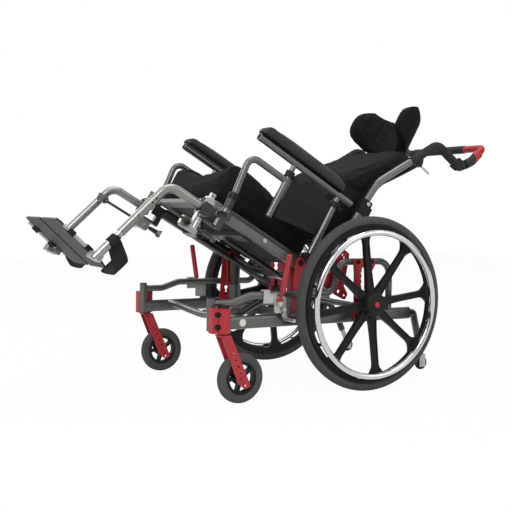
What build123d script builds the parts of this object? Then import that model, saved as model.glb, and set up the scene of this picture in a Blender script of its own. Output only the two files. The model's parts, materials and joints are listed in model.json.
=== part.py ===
from build123d import *
from math import cos, hypot, pi, radians, sin
import os

# A manual tilt-in-space wheelchair, in millimetres. +Z is up, -Y is the front, +X is the sitter's left.
# The origin is on the floor under the middle of the chair's outer box; everything is first laid out with
# the rear axle over Y = 0 and moved by rear_axle_y at the end.
rear_axle_y = 204.3

# rear wheels
wheel_radius = 281.0
wheel_x = 312.8
tyre_section = 16.5
rim_inner = 232.0
rim_outer = 254.0
spoke_count = 8
hub_radius = 39.0
axle_radius = 6.35
handrim_radius = 229.0
handrim_tube = 9.5
handrim_x = 346.0
running_gap = 0.05

# casters
caster_radius = 75.6
caster_x = 288.0
caster_stem_y = -519.0
caster_trail = 58.4
caster_width = 30.0
caster_spokes = 5

# base frame
base_x = 256.0
lower_rail_z = 237.0
lower_rail_height = 40.0
lower_rail_width = 22.0
lower_rail_front = -540.0
lower_rail_rear = 205.0
upright_y = -544.5
upright_radius = 12.5
upright_top = 314.0
upper_tube_radius = 11.0
tube_wall = 2.0
post_x = 190.0
post_y = -220.0

# seat frame: u runs rearwards along the rails, n stands square on them, from the tilt pivot
tilt_rest = 30.0
pivot_y = -225.0
pivot_z = 412.0
seat_rail_x = 226.0
seat_rail_width = 24.0
seat_rail_front = -297.0
seat_rail_rear = 150.0
seat_rail_top = 12.0
seat_rail_bottom = -22.0
seat_half_width = 205.0
arm_x = 263.0
arm_tube_n = 248.0
arm_mid_u = -187.0
arm_rear_u = 3.6
cane_x = 226.0
cane_radius = 12.0
recline_u = 104.0
recline_n = 30.0
stem_low = (205.1, 311.1)
stem_top = (344.0, 641.0)
strut_x = 150.0
strut_base_y = -425.0
strut_base_z = 229.0
strut_seat_u = 72.0
strut_seat_n = -15.0

# legrests, in the same u and n
leg_x = 228.0
leg_pivot_u = -370.0
leg_pivot_n = -22.0
leg_tube_radius = 13.5
rod_x = 206.0
rod_n = -77.0
rod_pin_u = -504.0
plate_slope = 13.4
plate_hinge_x = 176.0
plate_hinge_u = -634.0
plate_hinge_n = -285.0

seat_place = Location((0, pivot_y, pivot_z), (-tilt_rest, 0, 0))


def seat(shape):
    """Move a shape from seat coordinates (x, u, n) into the chair's own frame."""
    return seat_place * shape


def seat_point(u, n):
    """The Y and Z of a point given in seat coordinates."""
    a = radians(tilt_rest)
    return pivot_y + u * cos(a) + n * sin(a), pivot_z - u * sin(a) + n * cos(a)


def cylinder_between(a, b, radius):
    """A straight round bar from point a to point b."""
    direction = Vector(*b) - Vector(*a)
    plane = Plane(origin=a, z_dir=direction)
    return extrude(plane * Circle(radius), amount=direction.length)


def bar_x(x0, x1, y, z, radius):
    """A round bar along X."""
    return cylinder_between((x0, y, z), (x1, y, z), radius)


def box(x0, x1, y0, y1, z0, z1):
    """A block between six faces."""
    block = Box(x1 - x0, y1 - y0, z1 - z0)
    return Pos((x0 + x1) / 2, (y0 + y1) / 2, (z0 + z1) / 2) * block


def outline(points):
    """A flat face from (y, z) points, lying in the YZ plane at X = 0."""
    return make_face(Polyline(*[(0, p[0], p[1]) for p in points], close=True))


def plate(points, x0, x1):
    """A plate cut to (y, z) points, from X = x0 to X = x1."""
    return Pos(x0, 0, 0) * extrude(outline(points), amount=x1 - x0, dir=(1, 0, 0))


def round_plate(points, x0, x1, radius):
    """A plate whose corners are rounded by one radius."""
    shape = plate(points, x0, x1)
    return fillet(shape.edges().filter_by(Axis.X), radius)


def bent_tube(points, bends, radius, wall):
    """A round tube swept along straight runs joined by tangent arcs; wall 0 gives a solid bar."""
    if len(points) == 2:
        path = Line(*points)
    else:
        path = FilletPolyline(*points, radius=bends)
    section = Circle(radius) if wall == 0 else Circle(radius) - Circle(radius - wall)
    return sweep(Plane(origin=path @ 0, z_dir=path % 0) * section, path=path)


def slot_cut(y0, z0, y1, z1, radius, x0, x1):
    """A straight slot with round ends, cut along X."""
    length = hypot(y1 - y0, z1 - z0)
    middle = ((y0 + y1) / 2, (z0 + z1) / 2)
    ends = bar_x(x0, x1, y0, z0, radius) + bar_x(x0, x1, y1, z1, radius)
    square = Box(x1 - x0, length, 2 * radius)
    from_y = Vector(0, 1, 0).get_signed_angle(Vector(0, y1 - y0, z1 - z0), Vector(1, 0, 0))
    return ends + Location(((x0 + x1) / 2, *middle), (from_y, 0, 0)) * square


def other_side(shape):
    """The mirrored twin on the sitter's right."""
    return mirror(shape, about=Plane.YZ)


def both(*shapes):
    """The given solids and their mirrored twins."""
    solids = []
    for shape in shapes:
        solids += [shape, other_side(shape)]
    return solids


# ---- base frame ----

def rail_section(width, height):
    return RectangleRounded(width, height, width / 2 - 0.1)


def lower_rail():
    """An oval side tube whose front end is cut to fit the upright."""
    length = lower_rail_rear - lower_rail_front
    place = Plane(origin=(base_x, lower_rail_front, lower_rail_z), x_dir=(1, 0, 0), z_dir=(0, 1, 0))
    section = rail_section(lower_rail_width, lower_rail_height)
    bore = rail_section(lower_rail_width - 2 * tube_wall, lower_rail_height - 2 * tube_wall)
    rail = extrude(place * (section - bore), amount=length)
    return rail - upright_blank()


def upright_blank():
    z0 = lower_rail_z - lower_rail_height / 2
    return cylinder_between((base_x, upright_y, z0), (base_x, upright_y, upright_top), upright_radius)


def upright():
    bore = cylinder_between((base_x, upright_y, 0), (base_x, upright_y, 400), upright_radius - tube_wall)
    return upright_blank() - bore


def upper_rail():
    """The bent upper side tube: low at the front, a step up, then the tall loop over the axle plate."""
    path = [(-540, 298), (-474, 298), (-412, 318), (-112, 315), (-84, 413), (118, 413), (118, 250)]
    bends = [60, 60, 32, 34, 44]
    points = [(base_x, p[0], p[1]) for p in path]
    tube = bent_tube(points, bends, upper_tube_radius, tube_wall)
    place = Plane(origin=(base_x, -600, lower_rail_z), x_dir=(1, 0, 0), z_dir=(0, 1, 0))
    rail = extrude(place * rail_section(lower_rail_width, lower_rail_height), amount=900)
    return tube - upright_blank() - rail


def cross_tubes():
    """Cross members between the side frames, the uprights and the pivot posts' sleeves."""
    inner = base_x - lower_rail_width / 2
    y_front = -447.0
    front = bent_tube([(-inner - 4, y_front, 247), (0, y_front, 233), (inner + 4, y_front, 247)], [400], 11, 2)
    front -= rail_core()
    end = 240.9
    middle = box(-end, end, post_y - 15, post_y + 15, 224, 250)
    middle -= box(-end - 1, end + 1, post_y - 12.5, post_y + 12.5, 226.5, 247.5)
    rear = bar_x(-inner, inner, 165, lower_rail_z, 11) - bar_x(-inner, inner, 165, lower_rail_z, 9)
    spine = box(-14, 14, y_front + 10, post_y - 15.2, 226, 246)
    spine = spine - bent_tube([(-90, y_front, 237.8), (0, y_front, 233), (90, y_front, 237.8)], [400], 11.1, 0)
    sleeve = cylinder_between((post_x, post_y, 250), (post_x, post_y, 308), 20)
    return [front, middle, rear, spine] + both(upright(), sleeve)


def rail_core():
    """Both lower rails as filled bars, used to cut the ends of tubes that meet them."""
    place = Plane(origin=(base_x, -600, lower_rail_z), x_dir=(1, 0, 0), z_dir=(0, 1, 0))
    bar = extrude(place * rail_section(lower_rail_width, lower_rail_height), amount=900)
    return bar + other_side(bar)


def posts():
    """The dark inner posts that carry the tilt pivots, standing in the grey sleeves."""
    return both(cylinder_between((post_x, post_y, 308), (post_x, post_y, 396), 17))


def pivot_towers():
    """Red plates on both sides of each seat rail: the outer one has the hourglass slot."""
    outer = [(-255, 224), (-205, 224), (-206, 330), (-208, 404), (-217, 428), (-234, 428), (-243, 404),
             (-249, 330)]
    tall = round_plate(outer, 241, 244.9, 7)
    slot = bar_x(235, 250, -228, 272, 7) + bar_x(235, 250, -228, 294, 7) + box(235, 250, -231, -225, 272, 294)
    holes = bar_x(235, 250, pivot_y, pivot_z, 6.1) + bar_x(235, 250, -228, 237, 4.1)
    tall = tall - slot - holes
    inner = [(-240, 316), (-204, 316), (-206, 400), (-214, 427), (-236, 427), (-244, 400)]
    short = round_plate(inner, 207, 211, 6)
    short -= bar_x(200, 215, pivot_y, pivot_z, 6.1)
    short -= bar_x(200, 215, post_y - 2, 345, 4.1)
    return both(tall, short)


def axle_plates():
    """Slotted red plates with toothed slot edges that hold the rear axles between the side tubes."""
    shape = [(-38, 424), (46, 424), (46, 400), (34, 380), (31, 219), (-33, 219), (-36, 380), (-38, 400)]
    body = round_plate(shape, 267.4, 272.4, 6)
    body -= slot_cut(0, 262, 0, 388, 7, 260, 280)
    for k in range(7):
        body -= bar_x(260, 280, -7, 268 + 18 * k, 3)
        body -= bar_x(260, 280, 7, 268 + 18 * k, 3)
    for y, z in [(-22, 413), (33, 413), (-22, 237), (20, 237)]:
        body -= bar_x(260, 280, y, z, 4.1)
    return both(body)


def caster_housings():
    """Red castings: a flat pad bolted to the upright and a barrel for the caster stem."""
    barrel = cylinder_between((caster_x, caster_stem_y, 213), (caster_x, caster_stem_y, 287), 21)
    pad = box(base_x + 9, caster_x + 6, upright_y - 13, caster_stem_y, 213, 287)
    pad = fillet(pad.edges().filter_by(Axis.Z), 3)
    body = barrel + pad - rail_core()
    body -= upright_blank()
    body -= cylinder_between((caster_x, caster_stem_y, 200), (caster_x, caster_stem_y, 272), 6 + running_gap)
    for z in (232, 268):
        body -= bar_x(base_x, 330, upright_y + 3, z, 4.1)
        body -= bar_x(caster_x + 5, 330, upright_y + 3, z, 8.5)
    return both(body)


def axle():
    """Axle sleeve clamped in the slotted plate and the quick-release pin that the wheel turns on."""
    sleeve = bar_x(272.4, 292, 0, wheel_radius, 14) + bar_x(250, 267.4, 0, wheel_radius, 12)
    return sleeve + bar_x(250, 340, 0, wheel_radius, axle_radius)


def base_bolts():
    """Tilt pivot pins, plate bolts, caster housing bolts and the wheel axles."""
    pin = bar_x(204, 241, pivot_y, pivot_z, 6) + bar_x(207, 204, pivot_y, pivot_z, 9)
    pin += bar_x(241, 244.9, pivot_y, pivot_z, 6) + bar_x(244.9, 247.5, pivot_y, pivot_z, 9)
    tower_low = bar_x(240.9, 244.9, -228, 237, 4)
    tower_post = bar_x(207, 214, post_y - 2, 345, 4) + bar_x(211, 213.5, post_y - 2, 345, 6)
    solids = [pin, tower_low, tower_post, axle()]
    for y, z in [(-22, 413), (33, 413), (-22, 237), (20, 237)]:
        solids.append(bar_x(267, 272.4, y, z, 4) + bar_x(272.4, 276, y, z, 7))
    for z in (232, 268):
        solids.append(bar_x(293, 297.5, upright_y + 3, z, 7.5) + bar_x(270, 297, upright_y + 3, z, 4))
    return both(*solids)


def base_caps():
    """Black plastic: caps on the caster barrels and uprights, plugs in the rails."""
    dome = cylinder_between((caster_x, caster_stem_y, 287), (caster_x, caster_stem_y, 294), 17)
    dome = fillet(dome.edges().group_by(Axis.Z)[-1], 5)
    top = cylinder_between((base_x, upright_y, upright_top), (base_x, upright_y, upright_top + 3), 12)
    top += cylinder_between((base_x, upright_y, upright_top - 10), (base_x, upright_y, upright_top), 10.4)
    return both(dome, top)


def anti_tip_arms():
    """Black bent arms plugged into the rear of the lower rails, with the wheel's silver leg."""
    path = [(base_x, 205, 237), (base_x, 226, 237), (236, 262, 165), (226, 282, 112)]
    arm = bent_tube(path, [16, 60], 12, 2)
    arm += bar_end(base_x, 190, 205)
    leg = cylinder_between((227, 280, 117), (216, 300.6, 62), 9)
    foot = box(206, 209.5, 288, 313, 40, 82) + box(222.5, 226, 288, 313, 40, 82)
    foot += box(206, 226, 292, 309, 79, 85)
    foot -= bar_x(200, 230, 300.6, 53.3, 4.1)
    pin = bar_x(204, 228, 300.6, 53.3, 4)
    leg -= box(209.5, 222.5, 280, 320, 20, 79)
    return [arm, leg + foot, pin]


def bar_end(x, y0, y1):
    place = Plane(origin=(x, y0, lower_rail_z), x_dir=(1, 0, 0), z_dir=(0, 1, 0))
    return extrude(place * rail_section(17.6, 35.6), amount=y1 - y0)


def wheel_lock_bracket():
    """Silver clamp on the upper rail and the lock's mounting plate."""
    clamp = box(267.05, 271, -372, -326, 292, 322)
    clamp += box(252, 271, -372, -350, 329.2, 333) + box(267.5, 271, -372, -350, 320, 333)
    body = round_plate([(-336, 262), (-296, 262), (-296, 312), (-336, 312)], 271, 276, 6)
    pins = bar_x(276, 287, -322, 291, 4.95) + bar_x(276, 287, -306, 272, 4.95)
    return clamp + body + pins


# ---- wheels ----

def ring(x, radius, section):
    """A torus around the X axis."""
    return Location((x, 0, 0), (0, 90, 0)) * Torus(radius, section)


def rear_tyre(x):
    """Tyre with three shallow tread grooves, hollowed where the rim sits."""
    body = ring(x, wheel_radius - tyre_section, tyre_section)
    body -= bar_x(x - 40, x + 40, 0, 0, rim_outer)
    for dx in (-5, 0, 5):
        body -= ring(x + dx, wheel_radius - 0.3 - abs(dx) * 0.15, 0.9)
    return body


def mag_wheel(x):
    """Moulded rim, eight tapered grooved spokes that flare into the rim, and the hub."""
    rim = bar_x(x - 13, x + 13, 0, 0, rim_outer) - bar_x(x - 20, x + 20, 0, 0, rim_inner)
    hub = bar_x(x - 20, x + 28, 0, 0, hub_radius) - bar_x(x - 30, x + 40, 0, 0, axle_radius + running_gap)
    shape = [(30, -19), (200, -11.5), (224, -20), (234, -36), (234, 36), (224, 20), (200, 11.5), (30, 19)]
    groove = [(58, -7), (205, -4), (205, 4), (58, 7)]
    spoke = plate(shape, x - 9, x + 9) - plate(groove, x + 5, x + 10) - plate(groove, x - 10, x - 5)
    spoke = spoke & bar_x(x - 20, x + 20, 0, 0, rim_inner + 2)
    body = rim + hub
    for k in range(spoke_count):
        body += Rot(360 / spoke_count * k + 7, 0, 0) * (spoke - bar_x(x - 20, x + 20, 0, 0, hub_radius - 1))
    cap = bar_x(x + 28, x + 36, 0, 0, 36)
    cap = fillet(cap.edges().group_by(Axis.X)[-1], 5)
    return body + cap


def handrim(x):
    """Chrome hand ring with its stand-off tabs."""
    body = ring(handrim_x, handrim_radius, handrim_tube)
    tab = cylinder_between((x + 13.05, 236, 0), (handrim_x - 2, 236, 0), 4.5)
    tabs = [Rot(360 / spoke_count * (k + 0.5) + 7, 0, 0) * tab for k in range(spoke_count)]
    return [body + tabs]


def place_wheel(shapes):
    return [Pos(0, 0, wheel_radius) * s for s in shapes]


def caster_fork():
    """Folded red fork with two slanting legs and its stem."""
    top = caster_width / 2 + 4.5
    stem = cylinder_between((caster_x, caster_stem_y, 206), (caster_x, caster_stem_y, 262), 6)
    washer = cylinder_between((caster_x, caster_stem_y, 208), (caster_x, caster_stem_y, 212.4), 14)
    y_axle = caster_stem_y + caster_trail
    leg = [(-536, 208), (-503, 208), (y_axle + 27, 52), (y_axle + 8, 44), (y_axle - 16, 62)]
    solids = plate(leg, caster_x + top - 4, caster_x + top) + plate(leg, caster_x - top, caster_x - top + 4)
    solids += box(caster_x - top, caster_x + top, -536, -503, 204, 208)
    for k in range(4):
        t = 0.42 + 0.145 * k
        y = caster_stem_y + caster_trail * t * 1.02
        z = 208 - (208 - caster_radius) * t
        solids -= bar_x(caster_x - 40, caster_x + 40, y, z, 3.2)
    solids -= bar_x(caster_x - 40, caster_x + 40, y_axle + 9, 55, 3.2)
    bolt = bar_x(caster_x - top - 3, caster_x + top + 3, y_axle, caster_radius, 3.95)
    solids -= bolt
    heads = bar_x(caster_x + top, caster_x + top + 5, y_axle, caster_radius, 7)
    nut = bar_x(caster_x - top - 5, caster_x - top, y_axle, caster_radius, 7)
    return solids + stem + washer + bolt + heads + nut


def caster_tyre():
    body = Location((caster_x, 0, 0), (0, 90, 0)) * Torus(caster_radius - 15, 15)
    body -= bar_x(caster_x - 30, caster_x + 30, 0, 0, 48)
    return Pos(0, caster_stem_y + caster_trail, caster_radius) * body


def caster_hub():
    """Black moulded hub with curved-edged spokes."""
    half = 9.0
    body = bar_x(caster_x - 11, caster_x + 11, 0, 0, 48) - bar_x(caster_x - 20, caster_x + 20, 0, 0, 41)
    body += bar_x(caster_x - 14, caster_x + 14, 0, 0, 15)
    for k in range(caster_spokes):
        arm = box(caster_x - half, caster_x + half, -5, 5, 12, 42)
        body += Rot(360 / caster_spokes * k + 20, 0, 0) * arm
    body -= bar_x(caster_x - 20, caster_x + 20, 0, 0, 4)
    return Pos(0, caster_stem_y + caster_trail, caster_radius) * body


def anti_tip_wheel():
    body = bar_x(210, 222, 300.6, 53.3, 24)
    body = fillet(body.edges().filter_by(GeomType.CIRCLE), 4)
    return body - bar_x(200, 230, 300.6, 53.3, 4.05)


# ---- seat frame ----

def seat_rail():
    """Rounded box rail with the tilt pivot bore."""
    x0 = seat_rail_x - seat_rail_width / 2
    x1 = seat_rail_x + seat_rail_width / 2
    rail = box(x0, x1, seat_rail_front, seat_rail_rear, seat_rail_bottom, seat_rail_top)
    rail = fillet(rail.edges().filter_by(Axis.Y), 5)
    bore = box(x0 + 2, x1 - 2, seat_rail_front - 1, seat_rail_rear + 1, seat_rail_bottom + 2, seat_rail_top - 2)
    rail = rail - bore
    bush = bar_x(x0, x1, 0, 0, 9.2)
    return rail + bush - bar_x(x0 - 5, x1 + 5, 0, 0, 6 + running_gap)


def arm_socket():
    """Grey socket for the armrest's front leg, with its block on the rail."""
    tube = cylinder_between((arm_x, -320, -8), (arm_x, -320, 37), 14)
    tube -= cylinder_between((arm_x, -320, -2), (arm_x, -320, 40), 11.3)
    return tube + box(242.05, 251, -332, -300, -8, 12)


def seat_cross_beams():
    """Front and rear beams, the side tracks, the two slender rods and the strut's ears."""
    x_in = seat_rail_x - seat_rail_width / 2
    front = box(-x_in, x_in, -208, -176, -28, -3)
    front = fillet(front.edges().filter_by(Axis.X), 3)
    rear = box(-x_in, x_in, 94, 118, -20, 2)
    rear = fillet(rear.edges().filter_by(Axis.X), 3)
    rod = cylinder_between((100, -200, -36), (100, 110, -36), 7)
    lug_front = box(94, 106, -206, -190, -36, -27)
    lug_rear = box(94, 106, 97, 110, -36, -19)
    shape = [(60, -29), (86, -29), (112, -19.5), (112, 0), (60, 0)]
    ears = round_plate(shape, strut_x + 9.5, strut_x + 13.5, 5)
    ears += round_plate(shape, strut_x - 13.5, strut_x - 9.5, 5)
    ears += bar_x(strut_x - 16, strut_x + 16, strut_seat_u, strut_seat_n, 4)
    track = box(214, 234, -290, 60, 12, 18.8)
    return [front, rear + ears] + both(rod + lug_front + lug_rear, track)


def seat_pan():
    """Pale moulded seat board with turned-up front lip."""
    board = box(-208, 208, -344, 62, 19, 24)
    board = fillet(board.edges().filter_by(Axis.Z), 20)
    lip = box(-190, 190, -350, -338, 10, 24)
    return board + lip


def three_way(front, side, plan, x_half, u0, u1, n0, n1):
    """A soft body: the common part of its front, side and plan shapes."""
    a = extrude(front, amount=u1 - u0 + 20, dir=(0, 1, 0))
    b = extrude(side, amount=2 * x_half + 20, dir=(1, 0, 0))
    c = extrude(plan, amount=n1 - n0 + 20, dir=(0, 0, 1))
    return Pos(0, u0 - 10, 0) * a & Pos(-x_half - 10, 0, 0) * b & Pos(0, 0, n0 - 10) * c


def seat_cushion():
    """Thick contoured cushion: raised side bolsters, a central hollow, crowned top, drawn-in sides."""
    w = seat_half_width
    bottom = 24.3
    front = make_face(Wire([
        Line((-w + 14, 0, bottom), (w - 14, 0, bottom)),
        ThreePointArc((w - 14, 0, bottom), (w, 0, 90), (w - 10, 0, 145)),
        ThreePointArc((w - 10, 0, 145), (w - 34, 0, 167), (w - 66, 0, 150)),
        ThreePointArc((w - 66, 0, 150), (0, 0, 122), (-w + 66, 0, 150)),
        ThreePointArc((-w + 66, 0, 150), (-w + 34, 0, 167), (-w + 10, 0, 145)),
        ThreePointArc((-w + 10, 0, 145), (-w, 0, 90), (-w + 14, 0, bottom))]))
    side = make_face(Wire([
        Line((0, -344, bottom), (0, 20, bottom)),
        ThreePointArc((0, 20, bottom), (0, 27, 70), (0, 16, 118)),
        ThreePointArc((0, 16, 118), (0, -150, 152), (0, -292, 166)),
        ThreePointArc((0, -292, 166), (0, -332, 158), (0, -352, 132)),
        ThreePointArc((0, -352, 132), (0, -361, 80), (0, -344, bottom))]))
    plan = make_face(Wire([
        ThreePointArc((-w + 14, -346, 0), (0, -364, 0), (w - 14, -346, 0)),
        ThreePointArc((w - 14, -346, 0), (w - 1, -338, 0), (w, -322, 0)),
        ThreePointArc((w, -322, 0), (w - 7, -150, 0), (w, 4, 0)),
        ThreePointArc((w, 4, 0), (w - 2, 16, 0), (w - 12, 22, 0)),
        ThreePointArc((w - 12, 22, 0), (0, 30, 0), (-w + 12, 22, 0)),
        ThreePointArc((-w + 12, 22, 0), (-w + 2, 16, 0), (-w, 4, 0)),
        ThreePointArc((-w, 4, 0), (-w + 7, -150, 0), (-w, -322, 0)),
        ThreePointArc((-w, -322, 0), (-w + 1, -338, 0), (-w + 14, -346, 0))]))
    return three_way(front, side, plan, w, -364, 30, bottom, 170)


def back_pivot_plate():
    """Red plate on the rail's rear end: recline pivot, an arc of lock holes and lower lobes."""
    shape = [(92, -18), (150, -18), (168, -24), (214, -20), (214, 2), (186, 18), (180, 40), (166, 80),
             (152, 118), (118, 120), (100, 70), (88, 20)]
    body = round_plate(shape, 238.4, 242, 7)
    body -= bar_x(230, 250, recline_u, recline_n, 6.1)
    body -= bar_x(230, 250, 176, -8, 6) + bar_x(230, 250, 203, -8, 4)
    lug = bar_x(242, 243.5, 176, -8, 11) - bar_x(241, 245, 176, -8, 6)
    for k in range(5):
        a = radians(-4 + 8 * k)
        r = 76.0
        body -= bar_x(230, 250, recline_u + r * sin(a), recline_n + r * cos(a), 3.4)
    return body + lug


def legrest_receiver():
    """Dark plate on the rail's front end, its lower arm and the upright pin the legrest swings on."""
    body = round_plate([(-334, -24), (-285, -20), (-285, 14), (-334, 14)], 238.05, 242, 4)
    arm = box(222, 242, -318, -297.2, -56, -24) + box(222, 234, leg_pivot_u, -300, -56, -48)
    arm += box(238.05, 242, -318, -297.2, -30, -18)
    eye = cylinder_between((leg_x, leg_pivot_u, -56), (leg_x, leg_pivot_u, -48), 11)
    pin = cylinder_between((leg_x, leg_pivot_u, -88), (leg_x, leg_pivot_u, -40), 6)
    return body + arm + eye + pin


def seat_hardware():
    """Legrest receivers, rail bolts and recline pins."""
    receiver = legrest_receiver()
    bolt = bar_x(238.02, 241, -146, -4, 7) - bar_x(239.5, 242, -146, -4, 3)
    pin = bar_x(212, 242, recline_u, recline_n, 6) + bar_x(242, 244.8, recline_u, recline_n, 9)
    pin += bar_x(209, 212, recline_u, recline_n, 9)
    return both(receiver, bolt, pin)


def arm_frame():
    """Guard tube from the front leg over to the mid post, the mid post and the rear post."""
    guard = bent_tube([(arm_x, -320, 58.1), (arm_x, -334, 184), (arm_x, arm_mid_u, 184)], [30], 10.5, 2)
    guard -= cylinder_between((arm_x, arm_mid_u, 40), (arm_x, arm_mid_u, 260), 11.02)
    collar = cylinder_between((arm_x, -320, 37.1), (arm_x, -320, 58), 15)
    collar += cylinder_between((arm_x, -320, 10), (arm_x, -320, 38), 11)
    collar += cylinder_between((arm_x, -338, 47), (arm_x, -334, 47), 4)
    mid = cylinder_between((arm_x, arm_mid_u, 58), (arm_x, arm_mid_u, 208), 11)
    mid -= cylinder_between((arm_x, arm_mid_u, 70), (arm_x, arm_mid_u, 260), 8.6)
    rear = cylinder_between((arm_x, arm_rear_u, 34), (arm_x, arm_rear_u, 214), 11)
    rear -= cylinder_between((arm_x, arm_rear_u, 70), (arm_x, arm_rear_u, 260), 8.6)
    foot = box(236, 274, arm_rear_u - 11, arm_rear_u + 11, 19.5, 34)
    foot += box(236, 241, arm_rear_u - 11, arm_rear_u + 40, 12.1, 34)
    return [guard, collar, mid, rear, foot]


def arm_collar(u, n):
    """Black clamp at a post's top with its lever boss."""
    body = cylinder_between((arm_x, u, n - 11), (arm_x, u, n + 8), 15)
    body -= cylinder_between((arm_x, u, n - 20), (arm_x, u, n + 0.1), 11.05)
    body -= cylinder_between((arm_x, u, n - 20), (arm_x, u, n + 12), 8.6)
    body += box(arm_x + 8, arm_x + 16, u + 10, u + 24, n - 10, n)
    return body


def side_panel():
    """Black guard panel with moulded grooves and the two height clamps above it."""
    shape = [(-172, 66), (-8, 98), (-8, 214), (-90, 214), (-172, 196)]
    body = round_plate(shape, 259, 267, 8)
    for k in range(5):
        low = 92 + 13 * k
        body -= plate([(-166, low), (-14, low + 20), (-14, low + 23), (-166, low + 3)], 266, 268)
        body -= plate([(-166, low), (-14, low + 20), (-14, low + 23), (-166, low + 3)], 258, 260)
    return [body, arm_collar(arm_mid_u, 208), arm_collar(arm_rear_u, 214)]


def arm_top():
    """Arm tube with its two sliding legs."""
    tube = cylinder_between((arm_x, -338, arm_tube_n), (arm_x, 58, arm_tube_n), 11)
    tube -= cylinder_between((arm_x, -345, arm_tube_n), (arm_x, 62, arm_tube_n), 9)
    legs = cylinder_between((arm_x, arm_mid_u, 90), (arm_x, arm_mid_u, arm_tube_n - 9.5), 8.55)
    legs += cylinder_between((arm_x, arm_rear_u, 90), (arm_x, arm_rear_u, arm_tube_n - 9.5), 8.55)
    return tube + legs


def arm_pad():
    """Long padded top with rounded ends and a soft crown."""
    x0, x1 = arm_x - 24, arm_x + 26
    low = arm_tube_n + 11.2
    front = make_face(Wire([
        Line((x0 + 6, 0, low), (x1 - 6, 0, low)),
        ThreePointArc((x1 - 6, 0, low), (x1, 0, low + 18), (x1 - 7, 0, low + 33)),
        ThreePointArc((x1 - 7, 0, low + 33), ((x0 + x1) / 2, 0, low + 43), (x0 + 7, 0, low + 33)),
        ThreePointArc((x0 + 7, 0, low + 33), (x0, 0, low + 18), (x0 + 6, 0, low))]))
    side = make_face(Wire([
        Line((0, -340, low), (0, 4, low)),
        ThreePointArc((0, 4, low), (0, 8, low + 10), (0, 0, low + 24)),
        ThreePointArc((0, 0, low + 24), (0, -26, low + 35), (0, -62, low + 41)),
        ThreePointArc((0, -62, low + 41), (0, -150, low + 44), (0, -300, low + 34)),
        ThreePointArc((0, -300, low + 34), (0, -334, low + 24), (0, -344, low + 10)),
        ThreePointArc((0, -344, low + 10), (0, -344, low + 4), (0, -340, low))]))
    plan = RectangleRounded(50, 352, 22)
    plan = Pos(arm_x + 1, -168, 0) * plan
    return three_way(front, side, plan, 300, -344, 8, low, low + 52)


# ---- back ----

def cane_points():
    return [(recline_u, recline_n), (128, 290), (141, 385), (222, 515)]


def back_cane():
    """Bent cane from the recline pivot up to the push handle."""
    points = [(cane_x, p[0], p[1]) for p in cane_points()]
    tube = bent_tube(points, [500, 70], cane_radius, 2)
    boss = bar_x(cane_x - 11, cane_x + 11, recline_u, recline_n, 15)
    return tube + boss - bar_x(200, 250, recline_u, recline_n, 6 + running_gap)


def push_grip():
    """Padded push handle with the cheeks of the angle joint at its end."""
    lug = bar_x(cane_x - 16, cane_x - 6, 414, 620, 17) + bar_x(cane_x + 6, cane_x + 16, 414, 620, 17)
    lug += box(cane_x - 16, cane_x - 6, 390, 414, 603, 637) + box(cane_x + 6, cane_x + 16, 390, 414, 603, 637)
    lug -= bar_x(200, 250, 414, 620, 5)
    pin = bar_x(cane_x - 18, cane_x + 18, 414, 620, 4.9)
    return grip_tube() + lug + pin


def push_bar():
    """Stroller bar: two black arms, red corner sleeves and a padded cross grip."""
    tongue = bar_x(cane_x - 5.5, cane_x + 5.5, 414, 620, 15)
    tongue += plate([(412, 605), (426, 605), (452, 634), (432, 652), (412, 635)], cane_x - 5.5, cane_x + 5.5)
    tongue = tongue - bar_x(200, 250, 414, 620, 4.95)
    arm = bent_tube([(cane_x, 436, 638), (cane_x, 458, 668), (cane_x, 470, 706)], [60], 16.5, 0)
    corner = bent_tube([(cane_x, 468, 700), (cane_x, 478, 734), (cane_x - 90, 478, 734)], [16], 12.5, 0)
    side = tongue + arm + corner
    grip = bar_x(-(cane_x - 90), cane_x - 90, 478, 734, 14.5)
    return side + other_side(side) + grip


def tilt_lever():
    """Silver squeeze lever under the left push handle."""
    body = bar_x(cane_x - 3, cane_x + 3, 258, 526, 7)
    body += cylinder_between((cane_x, 258, 526), (cane_x, 306, 523), 4)
    body += Pos(cane_x, 306, 523) * Sphere(5)
    return body - bar_x(200, 250, 258, 526, 3.05)


def lever_mount():
    """Two cheeks under the left handle that carry the release lever's pin."""
    shape = [(232, 540), (252, 518), (266, 518), (266, 534), (254, 566)]
    cheeks = round_plate(shape, cane_x - 8, cane_x - 4, 4) + round_plate(shape, cane_x + 4, cane_x + 8, 4)
    return cheeks + bar_x(cane_x - 9, cane_x + 9, 258, 526, 3) - grip_tube()


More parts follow.
